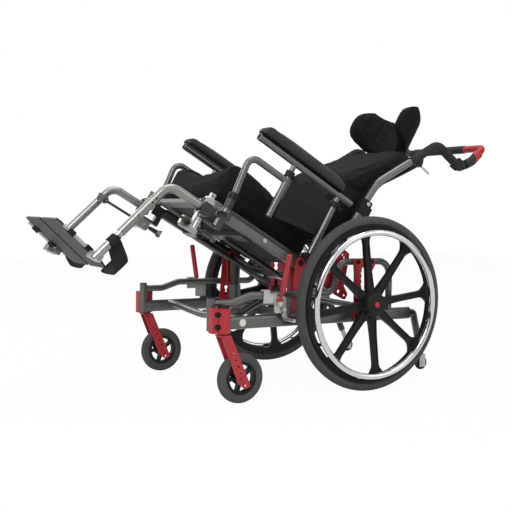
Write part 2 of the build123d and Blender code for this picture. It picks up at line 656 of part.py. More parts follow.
def back_cushion():
    """Deep contoured back: side wings, a hollow middle, a crowned top that narrows to the shoulders."""
    w = 203.0
    low, high = 128.0, 588.0
    front_curve = [((0, 24, low + 6), (0, 18, 205), (0, 37, 290)),
                   ((0, 37, 290), (0, 55, 352), (0, 96, 408)),
                   ((0, 96, 408), (0, 165, 490), (0, 236, high - 14))]
    rear_curve = [((0, 292, 556), (0, 236, 478), (0, 180, 404)),
                  ((0, 180, 404), (0, 158, 352), (0, 152, 290)),
                  ((0, 152, 290), (0, 146, 200), (0, 128, low + 6))]
    side = make_face(Wire(
        [Line((0, 30, low), (0, 122, low)), ThreePointArc((0, 122, low), (0, 126, low + 2), (0, 128, low + 6))]
        + [ThreePointArc(c[2], c[1], c[0]) for c in reversed(rear_curve)]
        + [ThreePointArc((0, 292, 556), (0, 276, 579), (0, 236, high - 14))]
        + [ThreePointArc(c[2], c[1], c[0]) for c in reversed(front_curve)]
        + [ThreePointArc((0, 24, low + 6), (0, 26, low + 2), (0, 30, low))]))
    front = make_face(Wire([
        ThreePointArc((-w + 24, 0, low), (0, 0, low - 4), (w - 24, 0, low)),
        ThreePointArc((w - 24, 0, low), (w - 6, 0, low + 8), (w, 0, low + 30)),
        ThreePointArc((w, 0, low + 30), (w - 6, 0, 270), (w, 0, 400)),
        ThreePointArc((w, 0, 400), (w - 8, 0, 500), (w - 62, 0, high - 14)),
        ThreePointArc((w - 62, 0, high - 14), (0, 0, high + 2), (-w + 62, 0, high - 14)),
        ThreePointArc((-w + 62, 0, high - 14), (-w + 8, 0, 500), (-w, 0, 400)),
        ThreePointArc((-w, 0, 400), (-w + 6, 0, 270), (-w, 0, low + 30)),
        ThreePointArc((-w, 0, low + 30), (-w + 6, 0, low + 8), (-w + 24, 0, low))]))
    plan = make_face(Wire([
        ThreePointArc((-w, 0, 0), (0, 44, 0), (w, 0, 0)),
        Line((w, 0, 0), (w, 320, 0)),
        Line((w, 320, 0), (-w, 320, 0)),
        Line((-w, 320, 0), (-w, 0, 0))]))
    body = three_way(front, side, plan, w, -20, 320, low - 10, high + 10)
    return body


def back_shell():
    """Thin black shell behind the cushion."""
    rear = [(128, 136), (143, 200), (151, 290), (157.5, 352), (178, 404), (234, 478), (284, 548)]
    shift = [(p[0] + 9, p[1] - 2) for p in reversed(rear)]
    shell = plate(rear + shift, -186, 186)
    return Pos(0, 0.5, 0) * (shell - back_cushion())


def cane_brackets():
    """Black clamp blocks on the canes with silver knobs, and the headrest's clamp behind the shell."""
    block = box(cane_x - 16, cane_x + 13.5, 112, 150, 252, 306)
    block = fillet(block.edges().filter_by(Axis.X), 5)
    arm = box(184, cane_x - 8, 162, 172, 262, 296) + box(cane_x - 16, cane_x - 8, 140, 172, 262, 296)
    knob = bar_x(cane_x + 13.5, cane_x + 17, 134, 294, 7)
    core = bent_tube([(cane_x, p[0], p[1]) for p in cane_points()], [500, 70], cane_radius + 0.02, 0)
    clamp = box(-24, 24, 218, 270, 396, 428)
    clamp += plate([(189.8, 404), (220, 404), (220, 422), (203.6, 422)], -24, 24)
    return both(block + arm - core, knob) + [clamp - stem_core(8.05)]


def headrest_pad():
    """Two-winged pad: the wings reach forward beside the head, the middle is waisted."""
    outer = make_face(Wire([
        ThreePointArc((-150, -88, 0), (0, 52, 0), (150, -88, 0)),
        ThreePointArc((150, -88, 0), (136, -108, 0), (112, -94, 0)),
        ThreePointArc((112, -94, 0), (0, 4, 0), (-112, -94, 0)),
        ThreePointArc((-112, -94, 0), (-136, -108, 0), (-150, -88, 0))]))
    body = extrude(outer, amount=90, dir=(0, 0, 1)) + extrude(outer, amount=90, dir=(0, 0, -1))
    lobe = make_face(Wire([
        ThreePointArc((0, -107, -10), (0, -92, 48), (0, -52, 80)),
        ThreePointArc((0, -52, 80), (0, 0, 66), (0, 60, 52)),
        ThreePointArc((0, 60, 52), (0, 70, -10), (0, 60, -62)),
        ThreePointArc((0, 60, -62), (0, 0, -76), (0, -44, -70)),
        ThreePointArc((0, -44, -70), (0, -92, -50), (0, -107, -10))]))
    window = extrude(lobe, amount=200, dir=(1, 0, 0)) + extrude(lobe, amount=200, dir=(-1, 0, 0))
    return Pos(0, 262, 664) * (body & window)


# ---- gas struts ----

def strut_axis():
    """Unit direction of the strut and its length, base pin to seat pin, in the chair's frame."""
    y, z = seat_point(strut_seat_u, strut_seat_n)
    length = hypot(y - strut_base_y, z - strut_base_z)
    return (y - strut_base_y) / length, (z - strut_base_z) / length, length


def along(t):
    dy, dz, _ = strut_axis()
    return (strut_x, strut_base_y + dy * t, strut_base_z + dz * t)


def strut_cylinder():
    eye = bar_x(strut_x - 6, strut_x + 6, strut_base_y, strut_base_z, 9)
    neck = cylinder_between(along(6), along(46), 5)
    body = cylinder_between(along(44), along(200), 11) - cylinder_between(along(58), along(197), 8.5)
    body -= cylinder_between(along(190), along(205), 4.3)
    rings = [cylinder_between(along(16 + 6 * k), along(19.5 + 6 * k), 9) for k in range(5)]
    whole = eye + neck + body + rings
    return whole - bar_x(strut_x - 20, strut_x + 20, strut_base_y, strut_base_z, 4.05)


def strut_rod():
    dy, dz, length = strut_axis()
    rod = cylinder_between(along(120), along(length - 11), 4)
    piston = cylinder_between(along(118), along(128), 8.2)
    eye = bar_x(strut_x - 5, strut_x + 5, *along(length)[1:], 13.5)
    eye += cylinder_between(along(length - 26), along(length - 11), 6)
    eye += cylinder_between(along(length - 26), along(length), 5)
    return rod + piston + (eye - bar_x(strut_x - 10, strut_x + 10, *along(length)[1:], 9.5))


def strut_mounts():
    """Clevis cheeks on the front cross tube."""
    cheek = round_plate([(-440, 216), (-414, 216), (-414, 242), (-452, 252), (-456, 236)],
                        strut_x + 7, strut_x + 11, 4)
    cheek_in = round_plate([(-440, 216), (-414, 216), (-414, 242), (-452, 252), (-456, 236)],
                           strut_x - 11, strut_x - 7, 4)
    return [cheek + cheek_in + bar_x(strut_x - 13, strut_x + 13, strut_base_y, strut_base_z, 4)]


# ---- wheel locks ----

def lock_lever():
    """Red hand lever that leans outwards, on its steel crank."""
    crank = round_plate([(-332, 282), (-312, 282), (-310, 306), (-330, 308)], 279.5, 284.5, 5)
    crank -= bar_x(270, 290, -322, 291, 5)
    stalk = cylinder_between((282, -321, 304), (299, -321, 330), 4.5)
    grip = cylinder_between((296, -321, 326), (334, -322, 444), 8.5)
    grip = fillet(grip.edges().group_by(Axis.Z)[-1], 5)
    return crank + stalk + grip


def lock_shoe():
    """Steel arm and the bar that presses on the tyre."""
    arm = round_plate([(-314, 262), (-298, 264), (-292, 240), (-302, 236), (-314, 250)], 279.5, 284.5, 3)
    arm = arm + bar_x(279.5, 284.5, -306, 272, 9)
    arm -= bar_x(270, 290, -306, 272, 5)
    bar = bar_x(280, 330, -299, 243, 5.5)
    return arm + bar


# ---- legrests ----

def legrest_bracket():
    """Silver swing-away bracket: two sleeves on the upright pin, hanger cheeks, latch and ratchet."""
    low = cylinder_between((leg_x, leg_pivot_u, -91), (leg_x, leg_pivot_u, -56.3), 11)
    high = cylinder_between((leg_x, leg_pivot_u, -47.7), (leg_x, leg_pivot_u, -39), 11)
    strip = box(leg_x - 9, leg_x + 9, leg_pivot_u - 16, leg_pivot_u - 11.3, -91, -39)
    strip += box(leg_x - 9, leg_x + 9, leg_pivot_u - 12, leg_pivot_u, -66, -58)
    bridge = box(leg_x - 21, leg_x + 21, -386, -354, -43, -38)
    sleeves = low + high + strip + bridge - cylinder_between((leg_x, leg_pivot_u, -95), (leg_x, leg_pivot_u, -30), 6.05)
    shape = [(-386, -43), (-354, -43), (-354, 2), (-364, 12), (-376, 12), (-386, 2)]
    cheeks = round_plate(shape, leg_x - 21, leg_x - 17, 3) + round_plate(shape, leg_x + 17, leg_x + 21, 3)
    pin = bar_x(leg_x - 23, leg_x + 23, leg_pivot_u, leg_pivot_n, 5)
    latch = box(leg_x - 21, leg_x + 21, -376, -364, 11, 16) + box(leg_x + 4, leg_x + 16, -377, -363, 15, 27)
    latch += bar_x(leg_x + 12, leg_x + 27, -370, 21, 4)
    floor = box(leg_x - 48, leg_x + 11, -384, -364, -97, -91)
    ratchet = box(leg_x - 48, leg_x - 31, -404, -340, -97, -62)
    ratchet = fillet(ratchet.edges().filter_by(Axis.X), 7)
    pawl = bar_x(leg_x - 56, leg_x - 48, -352, -86, 8) + bar_x(leg_x - 54, leg_x - 48, -390, -76, 6)
    return sleeves + cheeks + pin + latch + floor + ratchet + pawl


def legrest_hanger():
    """Bent hanger with its row of holes, the ratchet rod's lug and the adjusting knob."""
    path = [(leg_x, leg_pivot_u - 6, leg_pivot_n), (leg_x, -501, -22), (leg_x, -560, -214)]
    outer = bent_tube(path, [44], leg_tube_radius, 2.2)
    for k in range(8):
        t = (60 + 16.0 * k) / 201
        outer -= bar_x(leg_x - 20, leg_x + 20, -501 - 59 * t, -22 - 192 * t, 3)
    eye = bar_x(leg_x - 16.5, leg_x + 16.5, leg_pivot_u, leg_pivot_n, 12)
    lug = round_plate([(-536, -62), (-500, -62), (-494, -78), (-504, -88), (-536, -84)], rod_x + 5.5, rod_x + 9.5, 4)
    lug = lug + bar_x(rod_x - 6, rod_x + 9, rod_pin_u, rod_n, 3.95)
    knob = bar_x(leg_x + 13, leg_x + 22, -538, -143, 8)
    body = outer + eye - bar_x(leg_x - 30, leg_x + 30, leg_pivot_u, leg_pivot_n, 5.05)
    block = box(rod_x + 9, leg_x - 8, -532, -512, -86, -66) - leg_line(leg_tube_radius - 1, 0, 201)
    return body + lug + knob + block


def legrest_rod():
    """Elevating rod with its flared rubber end."""
    eye = bar_x(rod_x - 4, rod_x + 4, rod_pin_u, rod_n, 8)
    rod = cylinder_between((rod_x, rod_pin_u + 4, rod_n), (rod_x, -318, rod_n), 4.5)
    sections = [(-326, 13, 12), (-297, 16, 14), (-284, 26, 30)]
    faces = [Plane(origin=(rod_x, u, rod_n), z_dir=(0, 1, 0)) * RectangleRounded(high, wide, 5)
             for u, high, wide in sections]
    flare = loft(faces[:2]) + loft(faces[1:])
    return eye + rod + flare - bar_x(rod_x - 10, rod_x + 10, rod_pin_u, rod_n, 4)


def footplate():
    """Ribbed plate with small cut corners on two hinge knuckles."""
    shape = make_face(Polyline((8, -86, 0), (154, -86, 0), (164, -76, 0), (164, 90, 0), (140, 120, 0),
                               (8, 120, 0), close=True))
    board = extrude(shape, amount=5, dir=(0, 0, 1))
    board = fillet(board.edges().filter_by(Axis.Z), 4)
    for k in range(11):
        board += box(20, 150, -70 + 16 * k, -66 + 16 * k, 4, 6)
    knuckles = []
    for v in (-34, 34):
        knuckle = Location((plate_hinge_x, v, 0), (90, 0, 0)) * Cylinder(9, 22)
        knuckle += box(150, plate_hinge_x, v - 11, v + 11, -4, 4)
        knuckles.append(knuckle)
    whole = board + knuckles - Location((plate_hinge_x, 0, 0), (90, 0, 0)) * Cylinder(5.05, 200)
    return Location((0, plate_hinge_u, plate_hinge_n), (-plate_slope, 0, 0)) * whole


def heel_loop():
    """Black webbing sling behind the heel: a sleeve round the inner tube, a side and a rear band."""
    corners = [(214.6, 0), (214.6, 113.4), (88.6, 113.4), (88.6, 103), (91.4, 103), (91.4, 110.6),
               (211.8, 110.6), (211.8, 0)]
    flat = make_face(Polyline(*corners, close=True))
    for x, y, radius in ((214.6, 113.4, 26), (211.8, 110.6, 23.2), (88.6, 113.4, 7.8), (91.4, 110.6, 5)):
        flat = fillet(flat.vertices().sort_by_distance((x, y, 0))[0], radius)
    lie = Plane(origin=(0, -576, -205), x_dir=(1, 0, 0), z_dir=(0, 0.5962, 0.8028))
    sling = extrude(lie * flat, amount=54, dir=(0, -0.3164, -0.9486))
    sling -= box(60, 240, -640, -400, -226, -150)
    sleeve = leg_line(13.9, 211.5, 250) - leg_line(11.55, 200, 260)
    return sling + sleeve


def grip_tube():
    """Foam-covered handle tube: up over its crest and back down to the angle joint."""
    path = [(222.4, 515.7), (292, 630), (352, 622), (398, 618)]
    return bent_tube([(cane_x, p[0], p[1]) for p in path], [38, 60], 15, 0)


def stem_core(radius):
    """A round bar along the headrest stem's line."""
    return cylinder_between((0, *stem_low), (0, *stem_top), radius)


def headrest_stem():
    """Steel stem that slides in the clamp, with the pad's eye at its top."""
    rod = cylinder_between((0, *stem_low), (0, stem_top[0] - 2.33, stem_top[1] - 5.53), 8)
    eye = bar_x(-9, 9, stem_top[0], stem_top[1], 10)
    return rod + eye - bar_x(-12, 12, stem_top[0], stem_top[1], 5.05)


def leg_line(radius, t0, t1):
    """A round bar along the hanger's lower straight, between two distances from the bend's corner."""
    a = (leg_x, -501 - 0.2937 * t0, -22 - 0.9559 * t0)
    b = (leg_x, -501 - 0.2937 * t1, -22 - 0.9559 * t1)
    return cylinder_between(a, b, radius)


def footrest_tube():
    """Inner tube that slides in the hanger, its ribbed foot clamp and the footplate's spindle."""
    inner = leg_line(11.25, 90, 306)
    ribs = [leg_line(13.2, 252 + 5 * k, 255 + 5 * k) for k in range(10)]
    spindle = Location((plate_hinge_x, plate_hinge_u, plate_hinge_n), (90 - plate_slope, 0, 0)) * Cylinder(5, 130)
    clamp = box(plate_hinge_x + 12, leg_x, -602, -568, -316, -296)
    arm = box(plate_hinge_x - 7, plate_hinge_x + 18, -584, -562, -314, -296)
    return inner + ribs + spindle + clamp + arm


def headrest_yoke():
    """Two lugs and the cross pin behind the pad."""
    shape = [(315, 660), (315, 616), (344, 630), (354, 634), (354, 648), (344, 652)]
    lugs = round_plate(shape, -13.5, -9.5, 3) + round_plate(shape, 9.5, 13.5, 3)
    base = box(-13.5, 13.5, 314.5, 318, 612, 664)
    return lugs + base + bar_x(-15, 15, stem_top[0], stem_top[1], 5)


def main():
    nodes = {}
    nodes["lower_rails"] = both(lower_rail())
    nodes["upper_rails"] = both(upper_rail())
    nodes["base_cross_tubes"] = cross_tubes() + posts() + strut_mounts()
    nodes["caster_housings"] = caster_housings()
    nodes["pivot_and_axle_plates"] = pivot_towers() + axle_plates()
    nodes["base_bolts_and_caps"] = base_bolts() + base_caps()
    nodes["anti_tip_tubes"] = both(*anti_tip_arms())
    nodes["wheel_lock_brackets"] = both(wheel_lock_bracket())
    nodes["seat_rails"] = [seat(s) for s in both(seat_rail(), arm_socket())]
    nodes["seat_cross_beams"] = [seat(s) for s in seat_cross_beams() + seat_hardware()]
    nodes["seat_pan"] = [seat(seat_pan())]
    nodes["seat_cushion"] = [seat(seat_cushion())]
    nodes["back_pivot_plates"] = [seat(s) for s in both(back_pivot_plate())]
    nodes["arm_frames"] = [seat(s) for s in both(*arm_frame())]
    nodes["side_panels"] = [seat(s) for s in both(*side_panel())]
    nodes["back_canes"] = [seat(s) for s in both(back_cane())]
    nodes["back_shell_and_clamps"] = [seat(s) for s in [back_shell()] + cane_brackets()]
    nodes["back_cushion"] = [seat(back_cushion())]
    nodes["push_grips"] = [seat(s) for s in both(push_grip()) + [lever_mount()]]
    nodes["push_bar"] = [seat(push_bar())]
    nodes["headrest_stem"] = [seat(headrest_stem())]
    nodes["headrest_yoke"] = [seat(headrest_yoke())]
    nodes["headrest_pad"] = [seat(headrest_pad())]
    nodes["tilt_lever"] = [seat(tilt_lever())]
    nodes["strut_cylinder"] = [strut_cylinder()]
    nodes["strut_rod"] = [strut_rod()]
    sided = {
        "arm_top": [seat(arm_top())],
        "arm_pad": [seat(arm_pad())],
        "lock_lever": [lock_lever()],
        "lock_shoe": [lock_shoe()],
        "rear_tyre": place_wheel([rear_tyre(wheel_x)]),
        "mag_wheel": place_wheel([mag_wheel(wheel_x)]),
        "handrim": place_wheel(handrim(wheel_x)),
        "caster_fork": [caster_fork()],
        "caster_tyre": [caster_tyre()],
        "caster_hub": [caster_hub()],
        "anti_tip_wheel": [anti_tip_wheel()],
        "legrest_bracket": [seat(legrest_bracket())],
        "legrest_hanger": [seat(legrest_hanger())],
        "legrest_rod": [seat(legrest_rod())],
        "footrest_tube": [seat(footrest_tube())],
        "heel_loop": [seat(heel_loop())],
        "footplate": [seat(footplate())],
    }
    for name, shapes in sided.items():
        nodes[name + "_left"] = shapes
        nodes[name + "_right"] = [other_side(s) for s in shapes]
    os.makedirs("parts", exist_ok=True)
    for name, shapes in nodes.items():
        solids = []
        for shape in shapes:
            moved = Pos(0, rear_axle_y, 0) * shape
            solids += moved.solids()
        export_step(Compound(solids), "parts/" + name + ".step")
    print(len(nodes), "nodes")


main()
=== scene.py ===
import bpy
import json
import math
import numpy as np
from mathutils import Matrix, Vector


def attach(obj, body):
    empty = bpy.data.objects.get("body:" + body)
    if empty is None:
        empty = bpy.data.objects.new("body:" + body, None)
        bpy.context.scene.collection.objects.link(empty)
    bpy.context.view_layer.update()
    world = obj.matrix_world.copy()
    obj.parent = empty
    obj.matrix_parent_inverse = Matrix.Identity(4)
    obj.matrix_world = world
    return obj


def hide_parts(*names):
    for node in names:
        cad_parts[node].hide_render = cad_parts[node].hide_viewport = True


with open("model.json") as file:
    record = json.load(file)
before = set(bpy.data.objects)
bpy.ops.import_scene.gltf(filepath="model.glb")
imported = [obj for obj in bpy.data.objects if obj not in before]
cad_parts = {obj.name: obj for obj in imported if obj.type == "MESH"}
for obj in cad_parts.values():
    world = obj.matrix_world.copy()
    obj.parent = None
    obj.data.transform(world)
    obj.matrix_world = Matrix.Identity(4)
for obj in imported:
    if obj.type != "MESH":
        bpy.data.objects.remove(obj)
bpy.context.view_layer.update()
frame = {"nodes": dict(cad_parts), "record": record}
nodes = frame["nodes"]
print("frame loaded:", len(nodes), "nodes")

# the seat's own directions: u runs rearward along the cushion, n stands up from it
seatTilt = math.radians(30)
seatCos, seatSin = math.cos(seatTilt), math.sin(seatTilt)
pivot = (0.0, -0.0207, 0.412)
rearAxle = (0.0, 0.2043, 0.281)


def seatPoint(x, u, n):
    return (x, pivot[1] + u * seatCos + n * seatSin, pivot[2] - u * seatSin + n * seatCos)


def seatCoords(points):
    y = points[:, 1] - pivot[1]
    z = points[:, 2] - pivot[2]
    return points[:, 0], y * seatCos - z * seatSin, y * seatSin + z * seatCos


def upwardOf(normals):  # how far each normal leans along the seat's n
    return normals[:, 1] * seatSin + normals[:, 2] * seatCos


# small helpers

def onlySelect(piece):
    if bpy.context.object and bpy.context.object.mode != "OBJECT":
        bpy.ops.object.mode_set(mode="OBJECT")
    bpy.ops.object.select_all(action="DESELECT")
    piece.select_set(True)
    bpy.context.view_layer.objects.active = piece


def settle(piece, name):
    onlySelect(piece)
    bpy.ops.object.transform_apply(location=True, rotation=True, scale=True)
    piece.name = name
    piece.data.name = name
    return piece


def applyModifier(piece, kind, **settings):
    onlySelect(piece)
    modifier = piece.modifiers.new(kind.title(), kind)
    for key, value in settings.items():
        setattr(modifier, key, value)
    bpy.ops.object.modifier_apply(modifier=modifier.name)


def editAll(piece, *steps):
    onlySelect(piece)
    bpy.ops.object.mode_set(mode="EDIT")
    bpy.ops.mesh.select_all(action="SELECT")
    for step in steps:
        step()
    bpy.ops.object.mode_set(mode="OBJECT")


def mergeAndTurnOut(piece):
    editAll(piece, lambda: bpy.ops.mesh.remove_doubles(threshold=0.00002),
            lambda: bpy.ops.mesh.normals_make_consistent(inside=False))


def pickFaces(piece, test):
    onlySelect(piece)
    bpy.ops.object.mode_set(mode="EDIT")
    bpy.ops.mesh.select_mode(type="FACE")
    bpy.ops.mesh.select_all(action="DESELECT")
    bpy.ops.object.mode_set(mode="OBJECT")
    for face in piece.data.polygons:
        face.select = test(face)
    bpy.ops.object.mode_set(mode="EDIT")


def smoothShade(piece, angle):
    onlySelect(piece)
    bpy.ops.object.shade_smooth_by_angle(angle=math.radians(angle))


def copyPiece(piece, name):
    twin = bpy.data.objects.new(name, piece.data.copy())
    bpy.context.collection.objects.link(twin)
    return twin


def mirrorPiece(piece, name):
    twin = copyPiece(piece, name)
    twin.scale = (-1, 1, 1)
    settle(twin, name)
    editAll(twin, lambda: bpy.ops.mesh.normals_make_consistent(inside=False))
    return twin


def joinPieces(pieces, name):
    onlySelect(pieces[0])
    for piece in pieces[1:]:
        piece.select_set(True)
    bpy.ops.object.join()
    joined = bpy.context.object
    joined.name = name
    joined.data.name = name
    return joined


def readPoints(mesh, what="co"):
    flat = np.empty(len(mesh.vertices) * 3)
    mesh.vertices.foreach_get(what, flat)
    return flat.reshape(-1, 3)


def readNormals(mesh):
    return readPoints(mesh, "normal")


def writePoints(mesh, points):
    mesh.vertices.foreach_set("co", points.ravel())
    mesh.update()


# shader maths

class Wire:  # a socket that can be added, multiplied and so on
    def __init__(self, tree, socket):
        self.tree = tree
        self.socket = socket

    def sum(self, operation, first, second):
        node = self.tree.nodes.new("ShaderNodeMath")
        node.operation = operation
        for slot, value in zip(node.inputs, (first, second)):
            plug(self.tree, value, slot)
        return Wire(self.tree, node.outputs[0])

    def __add__(self, other):
        return self.sum("ADD", self, other)

    def __radd__(self, other):
        return self.sum("ADD", other, self)

    def __sub__(self, other):
        return self.sum("SUBTRACT", self, other)

    def __rsub__(self, other):
        return self.sum("SUBTRACT", other, self)

    def __mul__(self, other):
        return self.sum("MULTIPLY", self, other)

    def __rmul__(self, other):
        return self.sum("MULTIPLY", other, self)

    def __gt__(self, other):
        return self.sum("GREATER_THAN", self, other)

    def __lt__(self, other):
        return self.sum("LESS_THAN", self, other)


def plug(tree, value, slot):
    if isinstance(value, Wire):
        tree.links.new(value.socket, slot)
    elif slot.type == "RGBA" and len(value) == 3:
        slot.default_value = (*value, 1)
    else:
        slot.default_value = value


class Finish:  # one material being made
    def __init__(self, name):
        self.material = bpy.data.materials.new(name)
        self.material.use_nodes = True
        self.tree = self.material.node_tree
        self.shader = self.tree.nodes["Principled BSDF"]
        self.place = self.add("ShaderNodeTexCoord", output="Object")

    def add(self, kind, settings=None, values=None, output=0):
        node = self.tree.nodes.new(kind)
        for key, value in (settings or {}).items():
            setattr(node, key, value)
        for key, value in (values or {}).items():
            plug(self.tree, value, node.inputs[key])
        return Wire(self.tree, node.outputs[output])

    def noise(self, scale, detail, roughness=0.5, where=None):
        return self.add("ShaderNodeTexNoise", {"noise_dimensions": "3D"},
                        {"Vector": where or self.place, "Scale": scale, "Detail": detail,
                         "Roughness": roughness})

    def cells(self, scale, feature="F1"):
        return self.add("ShaderNodeTexVoronoi", {"feature": feature},
                        {"Vector": self.place, "Scale": scale}, "Distance")

    def blend(self, factor, first, second):
        node = self.tree.nodes.new("ShaderNodeMix")
        node.data_type = "RGBA"
        plug(self.tree, factor, node.inputs["Factor"])
        colours = [slot for slot in node.inputs if slot.type == "RGBA"]
        plug(self.tree, first, colours[0])
        plug(self.tree, second, colours[1])
        return Wire(self.tree, [slot for slot in node.outputs if slot.type == "RGBA"][0])

    def bump(self, height, strength, distance, edges=0.0):
        values = {"Height": height, "Strength": strength, "Distance": distance}
        if edges:
            values["Normal"] = self.add("ShaderNodeBevel", {"samples": 4}, {"Radius": edges})
        self.set(Normal=self.add("ShaderNodeBump", {}, values))

    def set(self, **values):
        for key, value in values.items():
            plug(self.tree, value, self.shader.inputs[key.replace("_", " ")])


shades = {  # the dark and the light tone of each finish
    "grey": ((0.075, 0.073, 0.068), (0.135, 0.131, 0.124)),
    "silver": ((0.19, 0.186, 0.176), (0.27, 0.264, 0.25)),
    "red": ((0.24, 0.008, 0.014), (0.48, 0.024, 0.034)),
    "blackPaint": ((0.008, 0.008, 0.008), (0.02, 0.02, 0.019)),
    "steel": ((0.26, 0.25, 0.235), (0.50, 0.49, 0.465)),
    "casting": ((0.30, 0.295, 0.28), (0.62, 0.61, 0.585)),
    "zinc": ((0.22, 0.215, 0.20), (0.50, 0.49, 0.465)),
    "chrome": ((0.50, 0.50, 0.49), (0.64, 0.64, 0.63)),
    "blackPlastic": ((0.005, 0.005, 0.005), (0.011, 0.011, 0.0105)),
    "boardFoot": ((0.007, 0.007, 0.007), (0.014, 0.014, 0.0135)),
    "paleBoard": ((0.15, 0.15, 0.145), (0.22, 0.22, 0.212)),
    "knit": ((0.012, 0.012, 0.0115), (0.004, 0.004, 0.004)),
    "vinyl": ((0.008, 0.008, 0.008), (0.019, 0.0185, 0.018)),
    "foam": ((0.016, 0.016, 0.016), (0.031, 0.031, 0.030)),
    "barFoam": ((0.024, 0.024, 0.024), (0.016, 0.016, 0.016)),
    "rubber": ((0.040, 0.040, 0.038), (0.083, 0.082, 0.078)),
    "strap": ((0.010, 0.010, 0.010), (0.030, 0.030, 0.029)),
    "floor": ((0.84, 0.84, 0.835), (0.86, 0.86, 0.855)),
}


def paintedTube(name, tones, metallic, rough, flake):
    paint = Finish(name)
    cloud = paint.noise(9, 4)
    speck = paint.noise(flake, 1, 0.4)
    worn = paint.noise(60, 6, 0.7)
    paint.set(Base_Color=paint.blend(cloud * 0.6 + speck * 0.4, *shades[tones]), Metallic=metallic,
              Roughness=rough + worn * 0.12 - 0.06, Coat_Weight=0.25, Coat_Roughness=0.2)
    paint.bump(speck, 0.12, 0.0004, edges=0.0008)
    return paint.material


def redPowder():
    paint = Finish("redPowder")
    wrinkle = paint.cells(900, "SMOOTH_F1")
    mottle = paint.noise(300, 3, 0.6)
    cloud = paint.noise(14, 3)
    paint.set(Base_Color=paint.blend(mottle * 0.7 + cloud * 0.3, *shades["red"]),
              Roughness=0.4 + mottle * 0.22, Coat_Weight=0.1, Specular_IOR_Level=0.4)
    paint.bump(wrinkle * 0.5 + mottle, 0.45, 0.0006, edges=0.0008)
    return paint.material


def zincSteel(name, tones, rough, metallic):
    metal = Finish(name)
    stretch = metal.add("ShaderNodeMapping", {}, {"Vector": metal.place, "Scale": (1.0, 6.0, 6.0)})
    brushed = metal.noise(160, 4, 0.6, stretch)
    stain = metal.noise(30, 5, 0.6)
    metal.set(Base_Color=metal.blend(stain, *shades[tones]), Metallic=metallic,
              Roughness=rough + brushed * 0.2)
    metal.bump(brushed, 0.08, 0.0003, edges=0.0006)
    return metal.material


def polishedChrome():
    metal = Finish("polishedChrome")
    haze = metal.noise(40, 5, 0.6)
    metal.set(Base_Color=metal.blend(haze, *shades["chrome"]), Metallic=1.0,
              Roughness=0.05 + haze * 0.07)
    metal.bump(haze, 0.02, 0.0002)
    return metal.material


def mouldedPlastic(name, tones, rough, grain):
    plastic = Finish(name)
    spark = plastic.noise(grain, 2, 0.6)
    cloud = plastic.noise(18, 4)
    scuff = plastic.noise(70, 8, 0.75)
    plastic.set(Base_Color=plastic.blend(cloud * 0.7 + scuff * 0.3, *shades[tones]),
                Roughness=rough + scuff * 0.16 - 0.08, Specular_IOR_Level=0.17)
    plastic.bump(spark, 0.25, 0.0003, edges=0.0007)
    return plastic.material


def spacerFabric():
    cloth = Finish("spacerFabric")
    knit = cloth.cells(420, "F1")
    fuzz = cloth.noise(900, 2, 0.7)
    fleck = cloth.noise(230, 2, 0.7)
    tone = cloth.blend(knit * 1.2, *shades["knit"])
    cloth.set(Base_Color=cloth.blend(fleck * 3 - 1.35, tone, (0.022, 0.022, 0.021)),
              Roughness=0.95 - fuzz * 0.1, Specular_IOR_Level=0.1)
    cloth.bump(1 - knit + fuzz * 0.35, 0.6, 0.0009)
    return cloth.material


def vinylSkin():
    skin = Finish("vinylSkin")
    grain = skin.cells(700, "SMOOTH_F1")
    crease = skin.noise(45, 7, 0.65)
    skin.set(Base_Color=skin.blend(crease, *shades["vinyl"]),
             Roughness=0.42 + crease * 0.2, Specular_IOR_Level=0.32)
    skin.bump(grain * 0.6 + crease * 0.6, 0.35, 0.0006)
    return skin.material


def foamRubber():
    foam = Finish("foamRubber")
    pores = foam.cells(800, "F1")
    cloud = foam.noise(20, 4)
    foam.set(Base_Color=foam.blend(cloud, *shades["foam"]),
             Roughness=0.75 + pores * 0.2, Specular_IOR_Level=0.2)
    foam.bump(pores, 0.5, 0.0007, edges=0.0008)
    return foam.material


def tyreRubber():
    rubber = Finish("tyreRubber")
    dust = rubber.noise(38, 6, 0.65)
    speck = rubber.noise(500, 2, 0.5)
    rubber.set(Base_Color=rubber.blend(dust, *shades["rubber"]),
               Roughness=0.66 + dust * 0.2, Specular_IOR_Level=0.3)
    rubber.bump(speck + dust * 0.5, 0.3, 0.0005)
    return rubber.material


def wovenStrap():
    strap = Finish("wovenStrap")
    rib = strap.add("ShaderNodeTexWave", {"wave_type": "BANDS", "bands_direction": "DIAGONAL"},
                    {"Vector": strap.place, "Scale": 260.0, "Distortion": 0.4, "Detail": 2.0})
    fuzz = strap.noise(700, 3, 0.7)
    strap.set(Base_Color=strap.blend(rib * 0.6 + fuzz * 0.4, *shades["strap"]),
              Roughness=0.9, Specular_IOR_Level=0.15)
    strap.bump(rib + fuzz * 0.5, 0.5, 0.0006)
    return strap.material


finishes = {
    "frame": paintedTube("frameGrey", "grey", metallic=0.6, rough=0.34, flake=1500),
    "hanger": paintedTube("hangerSilver", "silver", metallic=0.8, rough=0.33, flake=1500),
    "red": redPowder(),
    "dark_metal": paintedTube("blackPaint", "blackPaint", metallic=0.1, rough=0.4, flake=1200),
    "steel": zincSteel("zincSteel", "steel", rough=0.22, metallic=1.0),
    "chrome": polishedChrome(),
    "casting": zincSteel("paleCasting", "casting", rough=0.34, metallic=0.45),
    "black_plastic": mouldedPlastic("blackPlastic", "blackPlastic", rough=0.46, grain=1400),
    "pale_plastic": mouldedPlastic("paleBoard", "paleBoard", rough=0.55, grain=900),
    "upholstery": spacerFabric(),
    "foam_grip": foamRubber(),
    "tyre_rubber": tyreRubber(),
    "pad_skin": vinylSkin(),
    "webbing": wovenStrap(),
}
print("finishes made:", len(finishes))


